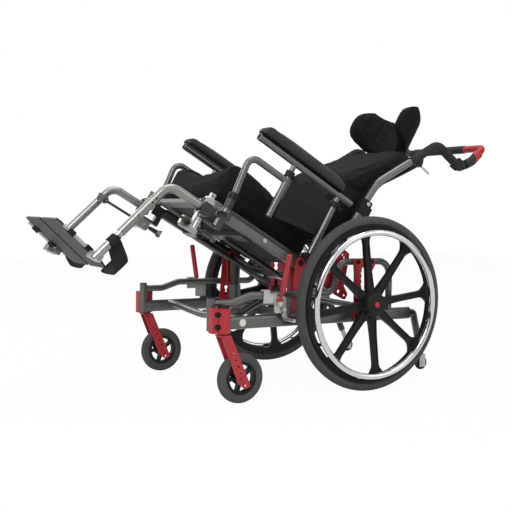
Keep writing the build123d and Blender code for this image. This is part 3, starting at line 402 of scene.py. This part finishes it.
def axesOf(finish):  # the object's own x, y and z as separate wires
    spot = finish.tree.nodes.new("ShaderNodeSeparateXYZ")
    plug(finish.tree, finish.place, spot.inputs[0])
    return [Wire(finish.tree, spot.outputs[k]) for k in range(3)]


def seatAxesOf(finish):  # x, u and n of the seat's own frame
    x, y, z = axesOf(finish)
    along, lift = y - pivot[1], z - pivot[2]
    return x, along * seatCos - lift * seatSin, along * seatSin + lift * seatCos


def giveFinish(piece, slot):
    piece.data.materials.clear()
    piece.data.materials.append(finishes[slot])


for part in frame["record"]["subparts"]:
    mesh = nodes[part["node"]].data
    mesh.materials.clear()
    mesh.materials.append(finishes[part["material_slot"]])


sleeve = {"fromX": 0.1355, "farFromX": 0.178, "fromY": 0.7135}  # the push bar's red corners
twoToneAndShade = {"boardEnd": -0.300, "stripFrom": 0.004, "leverBare": 0.297, "cheekTop": -0.006,
           "cheekFoot": -0.044, "paintedShadeInnerX": 0.2387}  # where a piece's second colour, or its painted shade, begins
plainDisc = {"y": -0.2377, "z": 0.237, "radius": 0.0112, "fromX": 0.2655}


def barSkin():  # black foam with a red textured sleeve at each corner
    skin = Finish("barSkin")
    pores = skin.cells(800, "F1")
    wrinkle = skin.noise(320, 3, 0.6)
    x, y, z = axesOf(skin)
    corner = ((x > sleeve["fromX"]) + (x < -sleeve["farFromX"])) * (y > sleeve["fromY"])
    black = skin.blend(pores, *shades["barFoam"])
    red = skin.blend(wrinkle, *shades["red"])
    skin.set(Base_Color=skin.blend(corner, black, red), Roughness=0.8 - corner * 0.35,
             Specular_IOR_Level=0.3)
    skin.bump(pores * 0.6 + wrinkle * 0.8, 0.5, 0.0007, edges=0.0008)
    return skin.material


def islandsOf(mesh):  # the separate solids inside one node, as lists of face numbers
    points = np.round(readPoints(mesh), 5)
    spots = {}
    spotOf = [spots.setdefault(tuple(point), len(spots)) for point in points]
    parent = list(range(len(spots)))

    def root(k):
        while parent[k] != k:
            parent[k] = parent[parent[k]]
            k = parent[k]
        return k

    for face in mesh.polygons:
        first = root(spotOf[face.vertices[0]])
        for vertex in face.vertices[1:]:
            other = root(spotOf[vertex])
            parent[other] = first
    groups = {}
    for face in mesh.polygons:
        groups.setdefault(root(spotOf[face.vertices[0]]), []).append(face.index)
    return list(groups.values())


def dressSolids(name, rules):  # rules: (finish, test on an island's low and high corners)
    mesh = nodes[name].data
    points = readPoints(mesh)
    for slot, test in rules:
        mesh.materials.append(finishes[slot])
    for faces in islandsOf(mesh):
        used = points[sorted({v for f in faces for v in mesh.polygons[f].vertices})]
        low, high = used.min(axis=0), used.max(axis=0)
        for k, (slot, test) in enumerate(rules):
            if test(low, high):
                for f in faces:
                    mesh.polygons[f].material_index = k + 1


def boardSkin():  # the moulded board: pale at its turned-up front, dark underneath
    skin = Finish("boardSkin")
    cloud = skin.noise(18, 4)
    x, u, n = seatAxesOf(skin)
    front = u < twoToneAndShade["boardEnd"]
    skin.set(Base_Color=skin.blend(front, skin.blend(cloud, *shades["boardFoot"]),
                                   skin.blend(cloud, *shades["paleBoard"])),
             Roughness=0.55, Specular_IOR_Level=0.3)
    skin.bump(skin.noise(900, 2, 0.6), 0.25, 0.0003, edges=0.0007)
    return skin.material


def greyPaint(skin):  # the frame's grey, with its metal flake raised a little
    speck = skin.noise(1500, 1, 0.4)
    skin.bump(speck, 0.12, 0.0004, edges=0.0008)
    return skin.blend(skin.noise(9, 4) * 0.6 + speck * 0.4, *shades["grey"])


def railSkin():  # grey paint with a black cover strip along the rail's top
    skin = Finish("railSkin")
    x, u, n = seatAxesOf(skin)
    strip = n > twoToneAndShade["stripFrom"]
    skin.set(Base_Color=skin.blend(strip, greyPaint(skin), shades["blackPaint"][0]),
             Metallic=0.6 - strip * 0.6, Roughness=0.34 + strip * 0.14, Coat_Weight=0.2 - strip * 0.2)
    return skin.material


def plainDiscSkin():  # the base's grey paint with one plain pale disc on the near rail
    skin = Finish("plainDiscSkin")
    x, y, z = axesOf(skin)
    across, rise = y - plainDisc["y"], z - plainDisc["z"]
    disc = (across * across + rise * rise < plainDisc["radius"] ** 2) * (x > plainDisc["fromX"])
    skin.set(Base_Color=skin.blend(disc, greyPaint(skin), (0.62, 0.61, 0.58)),
             Metallic=0.6 - disc * 0.6, Roughness=0.34 + disc * 0.2, Coat_Weight=0.25, Coat_Roughness=0.2)
    return skin.material


def redCoat(skin, mottle):  # the red powder without its large clouds, and its wrinkles
    skin.bump(skin.cells(900, "SMOOTH_F1") * 0.5 + mottle, 0.45, 0.0006, edges=0.0008)
    return skin.blend(mottle, *shades["red"])


def leverSkin():  # red powder above, bare cast steel at the crank
    skin = Finish("leverSkin")
    mottle = skin.noise(300, 3, 0.6)
    x, y, z = axesOf(skin)
    bare = z < twoToneAndShade["leverBare"]
    skin.set(Base_Color=skin.blend(bare, redCoat(skin, mottle), (0.46, 0.45, 0.43)), Metallic=bare,
             Roughness=0.36 + mottle * 0.22)
    return skin.material


def backPlateSkin():  # red powder outside, with painted shade: near-black on the inner face, the one that lies against the rail
    skin = Finish("backPlateSkin")
    mottle = skin.noise(300, 3, 0.6)
    x, y, z = axesOf(skin)
    # painted shade: the inner faces, in the shadow under the seat, are painted near-black instead of red
    paintedShadeMask = x * x < twoToneAndShade["paintedShadeInnerX"] ** 2
    skin.set(Base_Color=skin.blend(paintedShadeMask, redCoat(skin, mottle), (0.014, 0.013, 0.013)),
             Roughness=0.42 + mottle * 0.22, Specular_IOR_Level=0.35)
    return skin.material


def bracketSkin():  # zinc plate, near-black across the middle of the cheeks
    skin = Finish("bracketSkin")
    stain = skin.noise(60, 5, 0.6)
    x, u, n = seatAxesOf(skin)
    dark = (n < twoToneAndShade["cheekTop"]) * (n > twoToneAndShade["cheekFoot"])
    zinc = skin.blend(stain, *shades["zinc"])
    skin.set(Base_Color=skin.blend(dark, zinc, (0.016, 0.016, 0.0155)), Metallic=1.0 - dark * 0.9,
             Roughness=0.26 + stain * 0.2)
    skin.bump(stain, 0.1, 0.0003, edges=0.0006)
    return skin.material


ownSkins = {"wheel_lock_brackets": finishes["casting"], "tilt_lever": finishes["casting"],
            "push_bar": barSkin(), "seat_pan": boardSkin(), "seat_rails": railSkin(),
            "back_pivot_plates": backPlateSkin(), "lower_rails": plainDiscSkin()}
for side in ("left", "right"):
    ownSkins["lock_lever_" + side] = leverSkin()
    ownSkins["legrest_bracket_" + side] = bracketSkin()
for name, skin in ownSkins.items():
    nodes[name].data.materials[0] = skin

# the marks by which solids with another finish are told apart inside their node, in metres
solidsAt = {"postsFrom": 0.3, "postsTo": 0.38, "strutFootX": (0.13, 0.17), "antiTipFoot": 0.13,
            "screwHead": 0.004, "beamEndX": (0.2, 0.215), "beamTop": 0.4, "collarDeep": 0.05,
            "collarTop": 0.57, "socketTop": 0.45}


def isScrewHead(low, high):
    return high[0] - low[0] < solidsAt["screwHead"]


def isPost(low, high):
    return low[2] > solidsAt["postsFrom"] and high[2] > solidsAt["postsTo"]


def isStrutFoot(low, high):
    return solidsAt["strutFootX"][0] < low[0] and high[0] < solidsAt["strutFootX"][1]


def isRearBeam(low, high):  # with the strut's ears, and the pin beside it
    return solidsAt["beamEndX"][0] < abs(low[0]) < solidsAt["beamEndX"][1] and high[2] < solidsAt["beamTop"]


def isCollar(low, high):
    return high[1] - low[1] < solidsAt["collarDeep"] and high[2] > solidsAt["collarTop"]


dressSolids("base_cross_tubes", [("dark_metal", isPost), ("dark_metal", isStrutFoot)])
dressSolids("anti_tip_tubes", [("steel", lambda low, high: high[2] < solidsAt["antiTipFoot"])])
dressSolids("seat_cross_beams", [("steel", isScrewHead), ("steel", isRearBeam)])
dressSolids("arm_frames", [("black_plastic", isCollar),
                           ("dark_metal", lambda low, high: high[2] < solidsAt["socketTop"])])
dressSolids("back_shell_and_clamps", [("steel", isScrewHead)])
print("solids dressed")


# camera, light and floor

cameraView = {"place": (2.5008, -1.4926, 0.5757), "azimuth": 59.893, "elevation": 3.071,
              "roll": 0.92, "focal": 860.04, "centre": (255.55, 255.94), "picture": 512,
              "sensor": 36, "farClip": 60}


def makeCamera(view):
    azimuth, elevation, roll = (math.radians(view[k]) for k in ("azimuth", "elevation", "roll"))
    back = Vector((math.sin(azimuth) * math.cos(elevation), -math.cos(azimuth) * math.cos(elevation),
                   math.sin(elevation)))
    right = (-back).cross(Vector((0, 0, 1))).normalized()
    up = right.cross(-back)
    across = right * math.cos(roll) + up * math.sin(roll)
    above = up * math.cos(roll) - right * math.sin(roll)
    turn = Matrix((across, above, back)).transposed().to_4x4()
    data = bpy.data.cameras.new("photoCamera")
    camera = bpy.data.objects.new("photoCamera", data)
    bpy.context.collection.objects.link(camera)
    camera.matrix_world = Matrix.Translation(view["place"]) @ turn
    data.sensor_width = view["sensor"]
    data.lens = view["sensor"] * view["focal"] / view["picture"]
    half = view["picture"] / 2
    data.shift_x = (half - view["centre"][0]) / view["picture"]
    data.shift_y = (view["centre"][1] - half) / view["picture"]
    data.clip_end = view["farClip"]
    bpy.context.scene.camera = camera


makeCamera(cameraView)

lamps = {
    "keyLamp": {"place": (2.4, -2.4, 3.2), "size": 1.8, "power": 90},
    "fillLamp": {"place": (3.4, 2.4, 1.8), "size": 2.2, "power": 26},
    "farLamp": {"place": (-3.2, -1.2, 2.6), "size": 2.2, "power": 36},
    "topLamp": {"place": (0.0, 0.2, 3.8), "size": 2.4, "power": 60},
}
lampAim = Vector((0, 0, 0.45))
for name, lamp in lamps.items():
    data = bpy.data.lights.new(name, "AREA")
    data.size = lamp["size"]
    data.energy = lamp["power"]
    light = bpy.data.objects.new(name, data)
    bpy.context.collection.objects.link(light)
    light.location = lamp["place"]
    light.rotation_euler = (lampAim - light.location).to_track_quat("-Z", "Y").to_euler()

ground = {"size": 14.0, "drop": 0.0005, "worldStrength": 0.42, "shownWhite": 0.96}


def cameraMix(tree, seen, lit, amount):  # seen by the camera, in gloss and through glass
    paths = tree.nodes.new("ShaderNodeLightPath")
    tests = [Wire(tree, paths.outputs[k]) for k in
             ("Is Camera Ray", "Is Glossy Ray", "Is Transmission Ray")]
    shown = (tests[0] + tests[1] + tests[2]) * amount
    mixer = tree.nodes.new("ShaderNodeMixShader")
    plug(tree, shown, mixer.inputs[0])
    tree.links.new(lit, mixer.inputs[1])
    tree.links.new(seen, mixer.inputs[2])
    return mixer.outputs[0]


bpy.ops.object.select_all(action="DESELECT")
bpy.ops.mesh.primitive_plane_add(size=ground["size"], location=(0, 0, -ground["drop"]))
floor = settle(bpy.context.object, "studioFloor")
floorFinish = Finish("paleFloor")
floorFinish.set(Base_Color=floorFinish.blend(floorFinish.noise(3, 3), *shades["floor"]), Roughness=0.9)
glow = floorFinish.tree.nodes.new("ShaderNodeEmission")
glow.inputs["Color"].default_value = (1, 1, 1, 1)
mixed = cameraMix(floorFinish.tree, glow.outputs[0], floorFinish.shader.outputs[0], ground["shownWhite"])
floorFinish.tree.links.new(mixed, floorFinish.tree.nodes["Material Output"].inputs[0])
floor.data.materials.append(floorFinish.material)

flag = {"radius": 4.6, "low": 0.75, "high": 1.55}  # dark cloth round the studio, seen in gloss alone
bpy.ops.object.select_all(action="DESELECT")
bpy.ops.mesh.primitive_cylinder_add(vertices=64, radius=flag["radius"], depth=flag["high"] - flag["low"],
                                    end_fill_type="NOTHING",
                                    location=(0, 0, (flag["high"] + flag["low"]) / 2))
band = settle(bpy.context.object, "studioFlag")
flagFinish = Finish("flagCloth")
flagFinish.set(Base_Color=(0.01, 0.01, 0.01), Roughness=1.0, Specular_IOR_Level=0.0)
band.data.materials.append(flagFinish.material)
for ray in ("camera", "diffuse", "transmission", "shadow", "volume_scatter"):
    setattr(band, "visible_" + ray, False)

world = bpy.data.worlds.new("studioWorld")
bpy.context.scene.world = world
world.use_nodes = True
base = world.node_tree.nodes["Background"]
base.inputs["Color"].default_value = (1, 1, 1, 1)
base.inputs["Strength"].default_value = ground["worldStrength"]
white = world.node_tree.nodes.new("ShaderNodeBackground")
white.inputs["Color"].default_value = (1, 1, 1, 1)
white.inputs["Strength"].default_value = 1.0
mixed = cameraMix(world.node_tree, white.outputs[0], base.outputs[0], 1.0)
world.node_tree.links.new(mixed, world.node_tree.nodes["World Output"].inputs[0])
bpy.context.scene.view_settings.view_transform = "Standard"
print("camera, lamps and floor placed")


# upholstery

coverCloth = {"quality": 4, "mass": 0.3, "tension_stiffness": 18, "compression_stiffness": 18,
              "bending_stiffness": 2.5, "use_pressure": True, "uniform_pressure_force": 4,
              "vertex_group_mass": "held"}
coverSteps = 20


def inflate(piece, cap, held):  # the cover swells over its foam, by no more than the cap
    group = piece.vertex_groups.new(name="held")
    start = readPoints(piece.data)
    group.add([int(k) for k in np.nonzero(held(start))[0]], 1.0, "REPLACE")
    onlySelect(piece)
    cloth = piece.modifiers.new("Cloth", "CLOTH")
    for key, value in coverCloth.items():
        setattr(cloth.settings, key, value)
    cloth.settings.effector_weights.gravity = 0
    cloth.point_cache.frame_start = 1
    cloth.point_cache.frame_end = coverSteps
    for step in range(1, coverSteps + 1):
        bpy.context.scene.frame_set(step)
    bpy.ops.object.modifier_apply(modifier=cloth.name)
    moved = readPoints(piece.data) - start
    far = np.linalg.norm(moved, axis=1, keepdims=True)
    writePoints(piece.data, start + moved * np.minimum(1, cap / np.maximum(far, 1e-9)))
    bpy.context.scene.frame_set(1)
    piece.vertex_groups.clear()


def heldBelow(height):  # the vertices that lie lower than a height along n
    return lambda points: seatCoords(points)[2] < height


def heldNowhere(points):
    return np.zeros(len(points), bool)


def sew(piece, level, where, seam):  # a welt with a groove each side, where the level is nought
    points = readPoints(piece.data)
    normals = readNormals(piece.data)
    height = level(points)
    welt = seam["raised"] * np.exp(-(height / seam["wide"]) ** 2)
    groove = seam["sunk"] * np.exp(-(height / (seam["wide"] * 2.2)) ** 2)
    writePoints(piece.data, points + normals * ((welt - groove) * where(normals))[:, None])


def softPiece(name, node, look):
    piece = copyPiece(nodes[node], name)
    piece.data.name = name
    mergeAndTurnOut(piece)
    applyModifier(piece, "REMESH", mode="VOXEL", voxel_size=look["voxel"])
    applyModifier(piece, "SMOOTH", factor=0.5, iterations=look["smooth"])
    points = readPoints(piece.data)
    writePoints(piece.data, points - readNormals(piece.data) * look["shrink"])
    inflate(piece, look["cap"], look["held"])
    applyModifier(piece, "SUBSURF", levels=1, render_levels=1)
    return piece


def finishSoft(piece, node, body, slot):
    onlySelect(piece)
    bpy.ops.object.shade_smooth()
    giveFinish(piece, slot)
    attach(piece, body)
    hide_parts(node)
    print("soft piece:", piece.name, len(piece.data.polygons), "faces")


seatCushionLook = {"voxel": 0.006, "smooth": 5, "shrink": 0.004, "cap": 0.010, "held": heldBelow(0.0295),
                   "boxingHeight": 0.066, "boxing": {"raised": 0.0022, "sunk": 0.0022, "wide": 0.0030},
                   "topSeamX": 0.150, "topSeamSway": 0.012,
                   "topSeam": {"raised": 0.0, "sunk": 0.0022, "wide": 0.0030}}


def makeSeatCushion(look):
    piece = softPiece("seatCushion", "seat_cushion", look)

    def boxing(points):
        return seatCoords(points)[2] - look["boxingHeight"]

    def topSeam(points):  # follows the shaped top, a little below its rounded edge
        x, u, n = seatCoords(points)
        return np.abs(x) - look["topSeamX"] - look["topSeamSway"] * np.cos(u * 9)

    def sides(normals):
        return np.clip(1.2 - np.abs(upwardOf(normals)) * 1.6, 0, 1)

    def top(normals):
        return np.clip(upwardOf(normals) * 2 - 0.6, 0, 1)

    sew(piece, boxing, sides, look["boxing"])
    sew(piece, topSeam, top, look["topSeam"])
    finishSoft(piece, "seat_cushion", "seat", "upholstery")


backCushionLook = {"voxel": 0.006, "smooth": 5, "shrink": 0.004, "cap": 0.010, "held": heldNowhere,
                   "rearN": [0.128, 0.200, 0.290, 0.352, 0.404, 0.478, 0.556],
                   "rearU": [0.128, 0.146, 0.152, 0.158, 0.180, 0.236, 0.292],  # the rear surface
                   "sideSeamIn": 0.052, "sideSeam": {"raised": 0.0022, "sunk": 0.0022, "wide": 0.0030},
                   "frontSeamX": 0.118, "frontSeamSway": 0.014, "swayMiddle": 0.3,
                   "frontSeam": {"raised": 0.0, "sunk": 0.0020, "wide": 0.0030}}


def makeBackCushion(look):
    piece = softPiece("backCushion", "back_cushion", look)

    def sideSeam(points):  # runs down each side, halfway through the depth
        x, u, n = seatCoords(points)
        return u - (np.interp(n, look["rearN"], look["rearU"]) - look["sideSeamIn"])

    def frontSeam(points):
        x, u, n = seatCoords(points)
        return np.abs(x) - look["frontSeamX"] - look["frontSeamSway"] * np.cos((n - look["swayMiddle"]) * 8)

    def sides(normals):
        return np.clip(np.abs(normals[:, 0]) * 2 - 0.8, 0, 1)

    def front(normals):
        forward = normals[:, 2] * seatSin - normals[:, 1] * seatCos
        return np.clip(forward * 2 - 0.6, 0, 1)

    sew(piece, sideSeam, sides, look["sideSeam"])
    sew(piece, frontSeam, front, look["frontSeam"])
    finishSoft(piece, "back_cushion", "back", "upholstery")


headrestLook = {"voxel": 0.0045, "smooth": 4, "shrink": 0.003, "cap": 0.008, "held": heldNowhere,
                "middleU": 0.262, "middleN": 0.664, "wingReach": 0.107, "halfTall": 0.07,
                "footLift": 0.022}


def makeHeadrest(look):
    piece = softPiece("headrestPad", "headrest_pad", look)
    points = readPoints(piece.data)
    x, u, n = seatCoords(points)
    forward = np.clip((look["middleU"] - u) / look["wingReach"], 0, 1)  # the wings' feet are lifted
    lift = look["footLift"] * forward * np.clip((look["middleN"] - n) / look["halfTall"], 0, 1)
    points[:, 1] += lift * seatSin
    points[:, 2] += lift * seatCos
    writePoints(piece.data, points)
    finishSoft(piece, "headrest_pad", "headrest", "upholstery")


armPadLook = {"voxel": 0.0032, "smooth": 3, "shrink": 0.0018, "cap": 0.004, "held": heldBelow(0.2615),
              "skirtHeight": 0.279, "skirt": {"raised": 0.0012, "sunk": 0.0014, "wide": 0.0018}}


def makeArmPads(look):
    left = softPiece("armPadLeft", "arm_pad_left", look)

    def skirt(points):
        return seatCoords(points)[2] - look["skirtHeight"]

    def sides(normals):
        return np.clip(1.3 - np.abs(upwardOf(normals)) * 1.6, 0, 1)

    sew(left, skirt, sides, look["skirt"])
    right = mirrorPiece(left, "armPadRight")
    finishSoft(left, "arm_pad_left", "arm_left", "pad_skin")
    finishSoft(right, "arm_pad_right", "arm_right", "pad_skin")


makeSeatCushion(seatCushionLook)
makeBackCushion(backCushionLook)
makeHeadrest(headrestLook)
makeArmPads(armPadLook)
print("upholstery done")


# heel slings

# origin, reach and down are (u, n); a strap point is at x, s along the reach and w down from the edge
heelSling = {"origin": (-0.576, -0.205), "reach": (0.803, -0.596), "down": (-0.3164, -0.9486),
             "curlX": 0.0976, "curlS": 0.1044, "curlRadius": 0.0076, "bandS": 0.112, "bandBow": 0.0015,
             "cornerX": 0.187, "cornerS": 0.0862, "cornerRadius": 0.0258, "sideX": 0.2132,
             "sideBow": 0.0018, "tubeX": 0.228, "tubeAt": 0.019, "tubeRadius": 0.0128,
             "thick": 0.0024, "rows": 10, "topCut": 0.0237, "topSlope": 0.628, "deep": 0.054,
             "sleeveShorter": 0.008, "sag": 0.0012}


def arcPoint(x, s, radius, degrees):
    turn = math.radians(degrees)
    return (x + radius * math.cos(turn), s + radius * math.sin(turn))


def slingPath(look):
    bandLong = look["cornerX"] - look["curlX"]
    path = [arcPoint(look["curlX"], look["curlS"], look["curlRadius"], 180 - 15 * k)
            for k in range(7)]  # the free end curls in
    path += [(look["curlX"] + bandLong * k / 12,
              look["bandS"] + look["bandBow"] * math.sin(k / 12 * math.pi)) for k in range(1, 12)]
    path += [arcPoint(look["cornerX"], look["cornerS"], look["cornerRadius"], 90 - 11.25 * k)
             for k in range(9)]
    path += [(look["sideX"] + look["sideBow"] * k / 8,
              look["cornerS"] - (look["cornerS"] - look["tubeAt"]) * k / 8) for k in range(1, 8)]
    for k in range(25):  # the sleeve round the tube
        turn = math.radians(180 + 340 * k / 24)
        path.append((look["tubeX"] + look["tubeRadius"] * math.cos(turn),
                     look["tubeAt"] + look["tubeRadius"] * 1.06 * math.sin(turn)))
    return path


def makeHeelSling(look):
    path = slingPath(look)
    points, faces = [], []
    rows = look["rows"]
    for k, (x, s) in enumerate(path):
        top = max(0.0, look["topCut"] - look["topSlope"] * s)
        low = look["deep"] - look["sleeveShorter"] * min(1, max(0, (k - 27) / 7))
        for row in range(rows + 1):
            w = top + (low - top) * row / rows
            sag = look["sag"] * math.sin(row / rows * math.pi) * math.sin(min(1, k / 30) * math.pi)
            u = look["origin"][0] + s * look["reach"][0] + w * look["down"][0] + sag * 0.8
            n = look["origin"][1] + s * look["reach"][1] + w * look["down"][1]
            points.append(seatPoint(x, u, n))
    for k in range(len(path) - 1):
        for row in range(rows):
            a = k * (rows + 1) + row
            faces.append((a, a + 1, a + rows + 2, a + rows + 1))
    mesh = bpy.data.meshes.new("heelSlingLeft")
    mesh.from_pydata(points, [], faces)
    piece = bpy.data.objects.new("heelSlingLeft", mesh)
    bpy.context.collection.objects.link(piece)
    applyModifier(piece, "SOLIDIFY", thickness=look["thick"], offset=0)
    applyModifier(piece, "SUBSURF", levels=1, render_levels=1)
    mergeAndTurnOut(piece)
    return piece


heelLeft = makeHeelSling(heelSling)
heelRight = mirrorPiece(heelLeft, "heelSlingRight")
finishSoft(heelLeft, "heel_loop_left", "footrest_left", "webbing")
finishSoft(heelRight, "heel_loop_right", "footrest_right", "webbing")


# rear wheels

tyreLook = {"x": 0.3128, "radius": 0.281, "section": 0.0165, "steps": 432, "ring": 28, "groove": 0.0011,
            "treadFrom": 0.0022, "smoothRib": 0.0035, "crownDeep": 0.004, "crownFlat": 0.0008}


def makeTyre(look):
    middle = look["radius"] - look["section"]
    bpy.ops.object.select_all(action="DESELECT")
    bpy.ops.mesh.primitive_circle_add(vertices=look["ring"], radius=look["section"],
                                      location=(look["x"], rearAxle[1], rearAxle[2] + middle),
                                      rotation=(math.pi / 2, 0, 0))
    tyre = settle(bpy.context.object, "rearTyreLeft")
    editAll(tyre, lambda: bpy.ops.mesh.spin(steps=look["steps"], angle=2 * math.pi, center=rearAxle,
                                            axis=(1, 0, 0)))
    mergeAndTurnOut(tyre)
    points = readPoints(tyre.data)
    across = points[:, 0] - look["x"]
    radius = np.hypot(points[:, 1] - rearAxle[1], points[:, 2] - rearAxle[2])
    square = np.where(radius < middle, 1 - 0.5 * ((middle - radius) / look["section"]) ** 2, 1.0)
    points[:, 0] = look["x"] + across * square
    flat = np.clip((radius - look["radius"] + look["crownDeep"]) / look["crownDeep"], 0, 1)
    scale = (radius - look["crownFlat"] * flat) / radius
    points[:, 1] = rearAxle[1] + (points[:, 1] - rearAxle[1]) * scale
    points[:, 2] = rearAxle[2] + (points[:, 2] - rearAxle[2]) * scale
    writePoints(tyre.data, points)

    def tread(face):  # every second step, either side of the smooth middle rib
        y, z = face.center.y - rearAxle[1], face.center.z - rearAxle[2]
        far = math.hypot(y, z)
        step = int((math.atan2(z, y) / (2 * math.pi) + 1) * look["steps"] + 0.25)
        side = abs(face.center.x - look["x"])
        return far > middle + look["treadFrom"] and side > look["smoothRib"] and step % 2 == 0

    pickFaces(tyre, tread)
    bpy.ops.mesh.extrude_region_shrink_fatten(TRANSFORM_OT_shrink_fatten={"value": -look["groove"]})
    bpy.ops.object.mode_set(mode="OBJECT")
    smoothShade(tyre, 32)
    return tyre


magLook = {"x": 0.3128, "root": 0.0222, "rimIn": 0.2315, "rimOut": 0.2535, "halfWide": 0.0135,
           "spokes": 8, "firstAngle": 7.0, "spokeHalf": 0.0165, "waist": 0.0105, "flare": 0.030,
           "flareFrom": 0.80, "flareLong": 0.20, "spokeThick": 0.017, "rimLap": 0.004, "slices": 16,
           "spokeDeep": 0.0096, "thinning": 0.0020, "panelEdge": 0.0038, "panelDeep": 0.0032,
           "spokeRound": 0.0012, "dotRadius": 0.0085, "dotFrom": 0.0358}


def spinProfile(name, profile, x, steps):  # profile: (x offset, radius) points of a closed outline
    mesh = bpy.data.meshes.new(name)
    points = [(x + dx, rearAxle[1], rearAxle[2] + r) for dx, r in profile]
    mesh.from_pydata(points, [(k, (k + 1) % len(points)) for k in range(len(points))], [])
    piece = bpy.data.objects.new(name, mesh)
    bpy.context.collection.objects.link(piece)
    editAll(piece, lambda: bpy.ops.mesh.spin(steps=steps, angle=2 * math.pi, center=rearAxle,
                                             axis=(1, 0, 0)))
    mergeAndTurnOut(piece)
    return piece


def makeSpoke(look):
    length = look["rimIn"] + look["rimLap"] - look["root"]
    foot = rearAxle[2] + look["root"]
    bpy.ops.object.select_all(action="DESELECT")
    bpy.ops.mesh.primitive_cube_add(size=1, location=(look["x"], rearAxle[1], foot + length / 2))
    spoke = bpy.context.object
    spoke.scale = (look["spokeThick"], 2 * look["spokeHalf"], length)
    settle(spoke, "spoke")
    for k in range(1, look["slices"]):
        cut = foot + length * k / look["slices"]
        editAll(spoke, lambda: bpy.ops.mesh.bisect(plane_co=(0, 0, cut), plane_no=(0, 0, 1)))
    points = readPoints(spoke.data)
    t = (points[:, 2] - foot) / length
    half = look["waist"] + (look["spokeHalf"] - look["waist"]) * np.clip(1 - t * 2.2, 0, 1) ** 1.5
    half = half + look["flare"] * np.clip((t - look["flareFrom"]) / look["flareLong"], 0, 1) ** 2.6
    side = np.sign(points[:, 1] - rearAxle[1])
    points[:, 1] = rearAxle[1] + side * half
    deep = look["spokeDeep"] - look["thinning"] * np.clip(t * 1.2, 0, 1)
    points[:, 0] = look["x"] + np.sign(points[:, 0] - look["x"]) * deep
    writePoints(spoke.data, points)

    def outerFace(face):  # the flat of each side, where the panel is sunk
        t = (face.center.z - rearAxle[2]) / look["rimIn"]
        return abs(face.normal.x) > 0.9 and 0.2 < t < 0.86

    pickFaces(spoke, outerFace)
    bpy.ops.mesh.inset(thickness=look["panelEdge"], depth=0)
    bpy.ops.mesh.extrude_region_shrink_fatten(TRANSFORM_OT_shrink_fatten={"value": -look["panelDeep"]})
    bpy.ops.object.mode_set(mode="OBJECT")
    applyModifier(spoke, "BEVEL", width=look["spokeRound"], segments=2, limit_method="ANGLE",
                  angle_limit=math.radians(50))
    return spoke


def turnAboutAxle(piece, degrees):
    centre = Matrix.Translation(rearAxle)
    piece.data.transform(centre @ Matrix.Rotation(math.radians(degrees), 4, "X") @ centre.inverted())


def makeMagWheel(look):
    spoke = makeSpoke(look)
    parts = []
    for k in range(look["spokes"]):
        twin = copyPiece(spoke, "spokeCopy")
        turnAboutAxle(twin, look["firstAngle"] + 360 / look["spokes"] * k)
        parts.append(twin)
    bpy.data.objects.remove(spoke)
    w = look["halfWide"]
    rim = [(-w, look["rimOut"]), (-w, 0.2475), (-w + 0.0015, 0.2455), (-0.0085, 0.2375), (-0.0065, 0.2322),
           (-0.004, 0.2312), (0.004, 0.2312), (0.0065, 0.2322), (0.0085, 0.2375), (w - 0.0015, 0.2455),
           (w, 0.2475), (w, look["rimOut"]), (w - 0.003, look["rimOut"]), (w - 0.004, 0.2505),
           (-w + 0.004, 0.2505), (-w + 0.003, look["rimOut"])]
    parts.append(spinProfile("rim", rim, look["x"], 160))
    hub = [(-0.020, 0.0068), (-0.020, 0.030), (-0.018, 0.0325), (-0.012, 0.0380), (-0.009, 0.0392),
           (0.010, 0.0392), (0.0255, 0.0386), (0.0275, 0.0372), (0.0275, 0.0068)]
    parts.append(spinProfile("hub", hub, look["x"], 96))
    cap = [(0.0278, 0.0), (0.0278, 0.0368), (0.0300, 0.0372), (0.0335, 0.0358), (0.0356, 0.0325),
           (0.0360, 0.0300), (0.0360, 0.0285), (0.0354, 0.0278), (0.0354, look["dotRadius"] + 0.001),
           (0.0360, look["dotRadius"]), (0.0360, 0.0)]
    parts.append(spinProfile("cap", cap, look["x"], 96))
    wheel = joinPieces(parts, "magWheelLeft")
    smoothShade(wheel, 38)
    return wheel


def paintDot(wheel, look):  # a plain red dot in the middle of the hub cap
    wheel.data.materials.append(finishes["red"])
    for face in wheel.data.polygons:
        far = math.hypot(face.center.y - rearAxle[1], face.center.z - rearAxle[2])
        if far < look["dotRadius"] and abs(face.center.x) > look["x"] + look["dotFrom"]:
            face.material_index = 1


tyreLeft = makeTyre(tyreLook)
wheelLeft = makeMagWheel(magLook)
for side, tyre, wheel in (("left", tyreLeft, wheelLeft),
                          ("right", mirrorPiece(tyreLeft, "rearTyreRight"),
                           mirrorPiece(wheelLeft, "magWheelRight"))):
    giveFinish(tyre, "tyre_rubber")
    giveFinish(wheel, "black_plastic")
    paintDot(wheel, magLook)
    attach(tyre, "wheel_" + side)
    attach(wheel, "wheel_" + side)
    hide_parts("rear_tyre_" + side)
    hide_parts("mag_wheel_" + side)
print("rear wheels done")
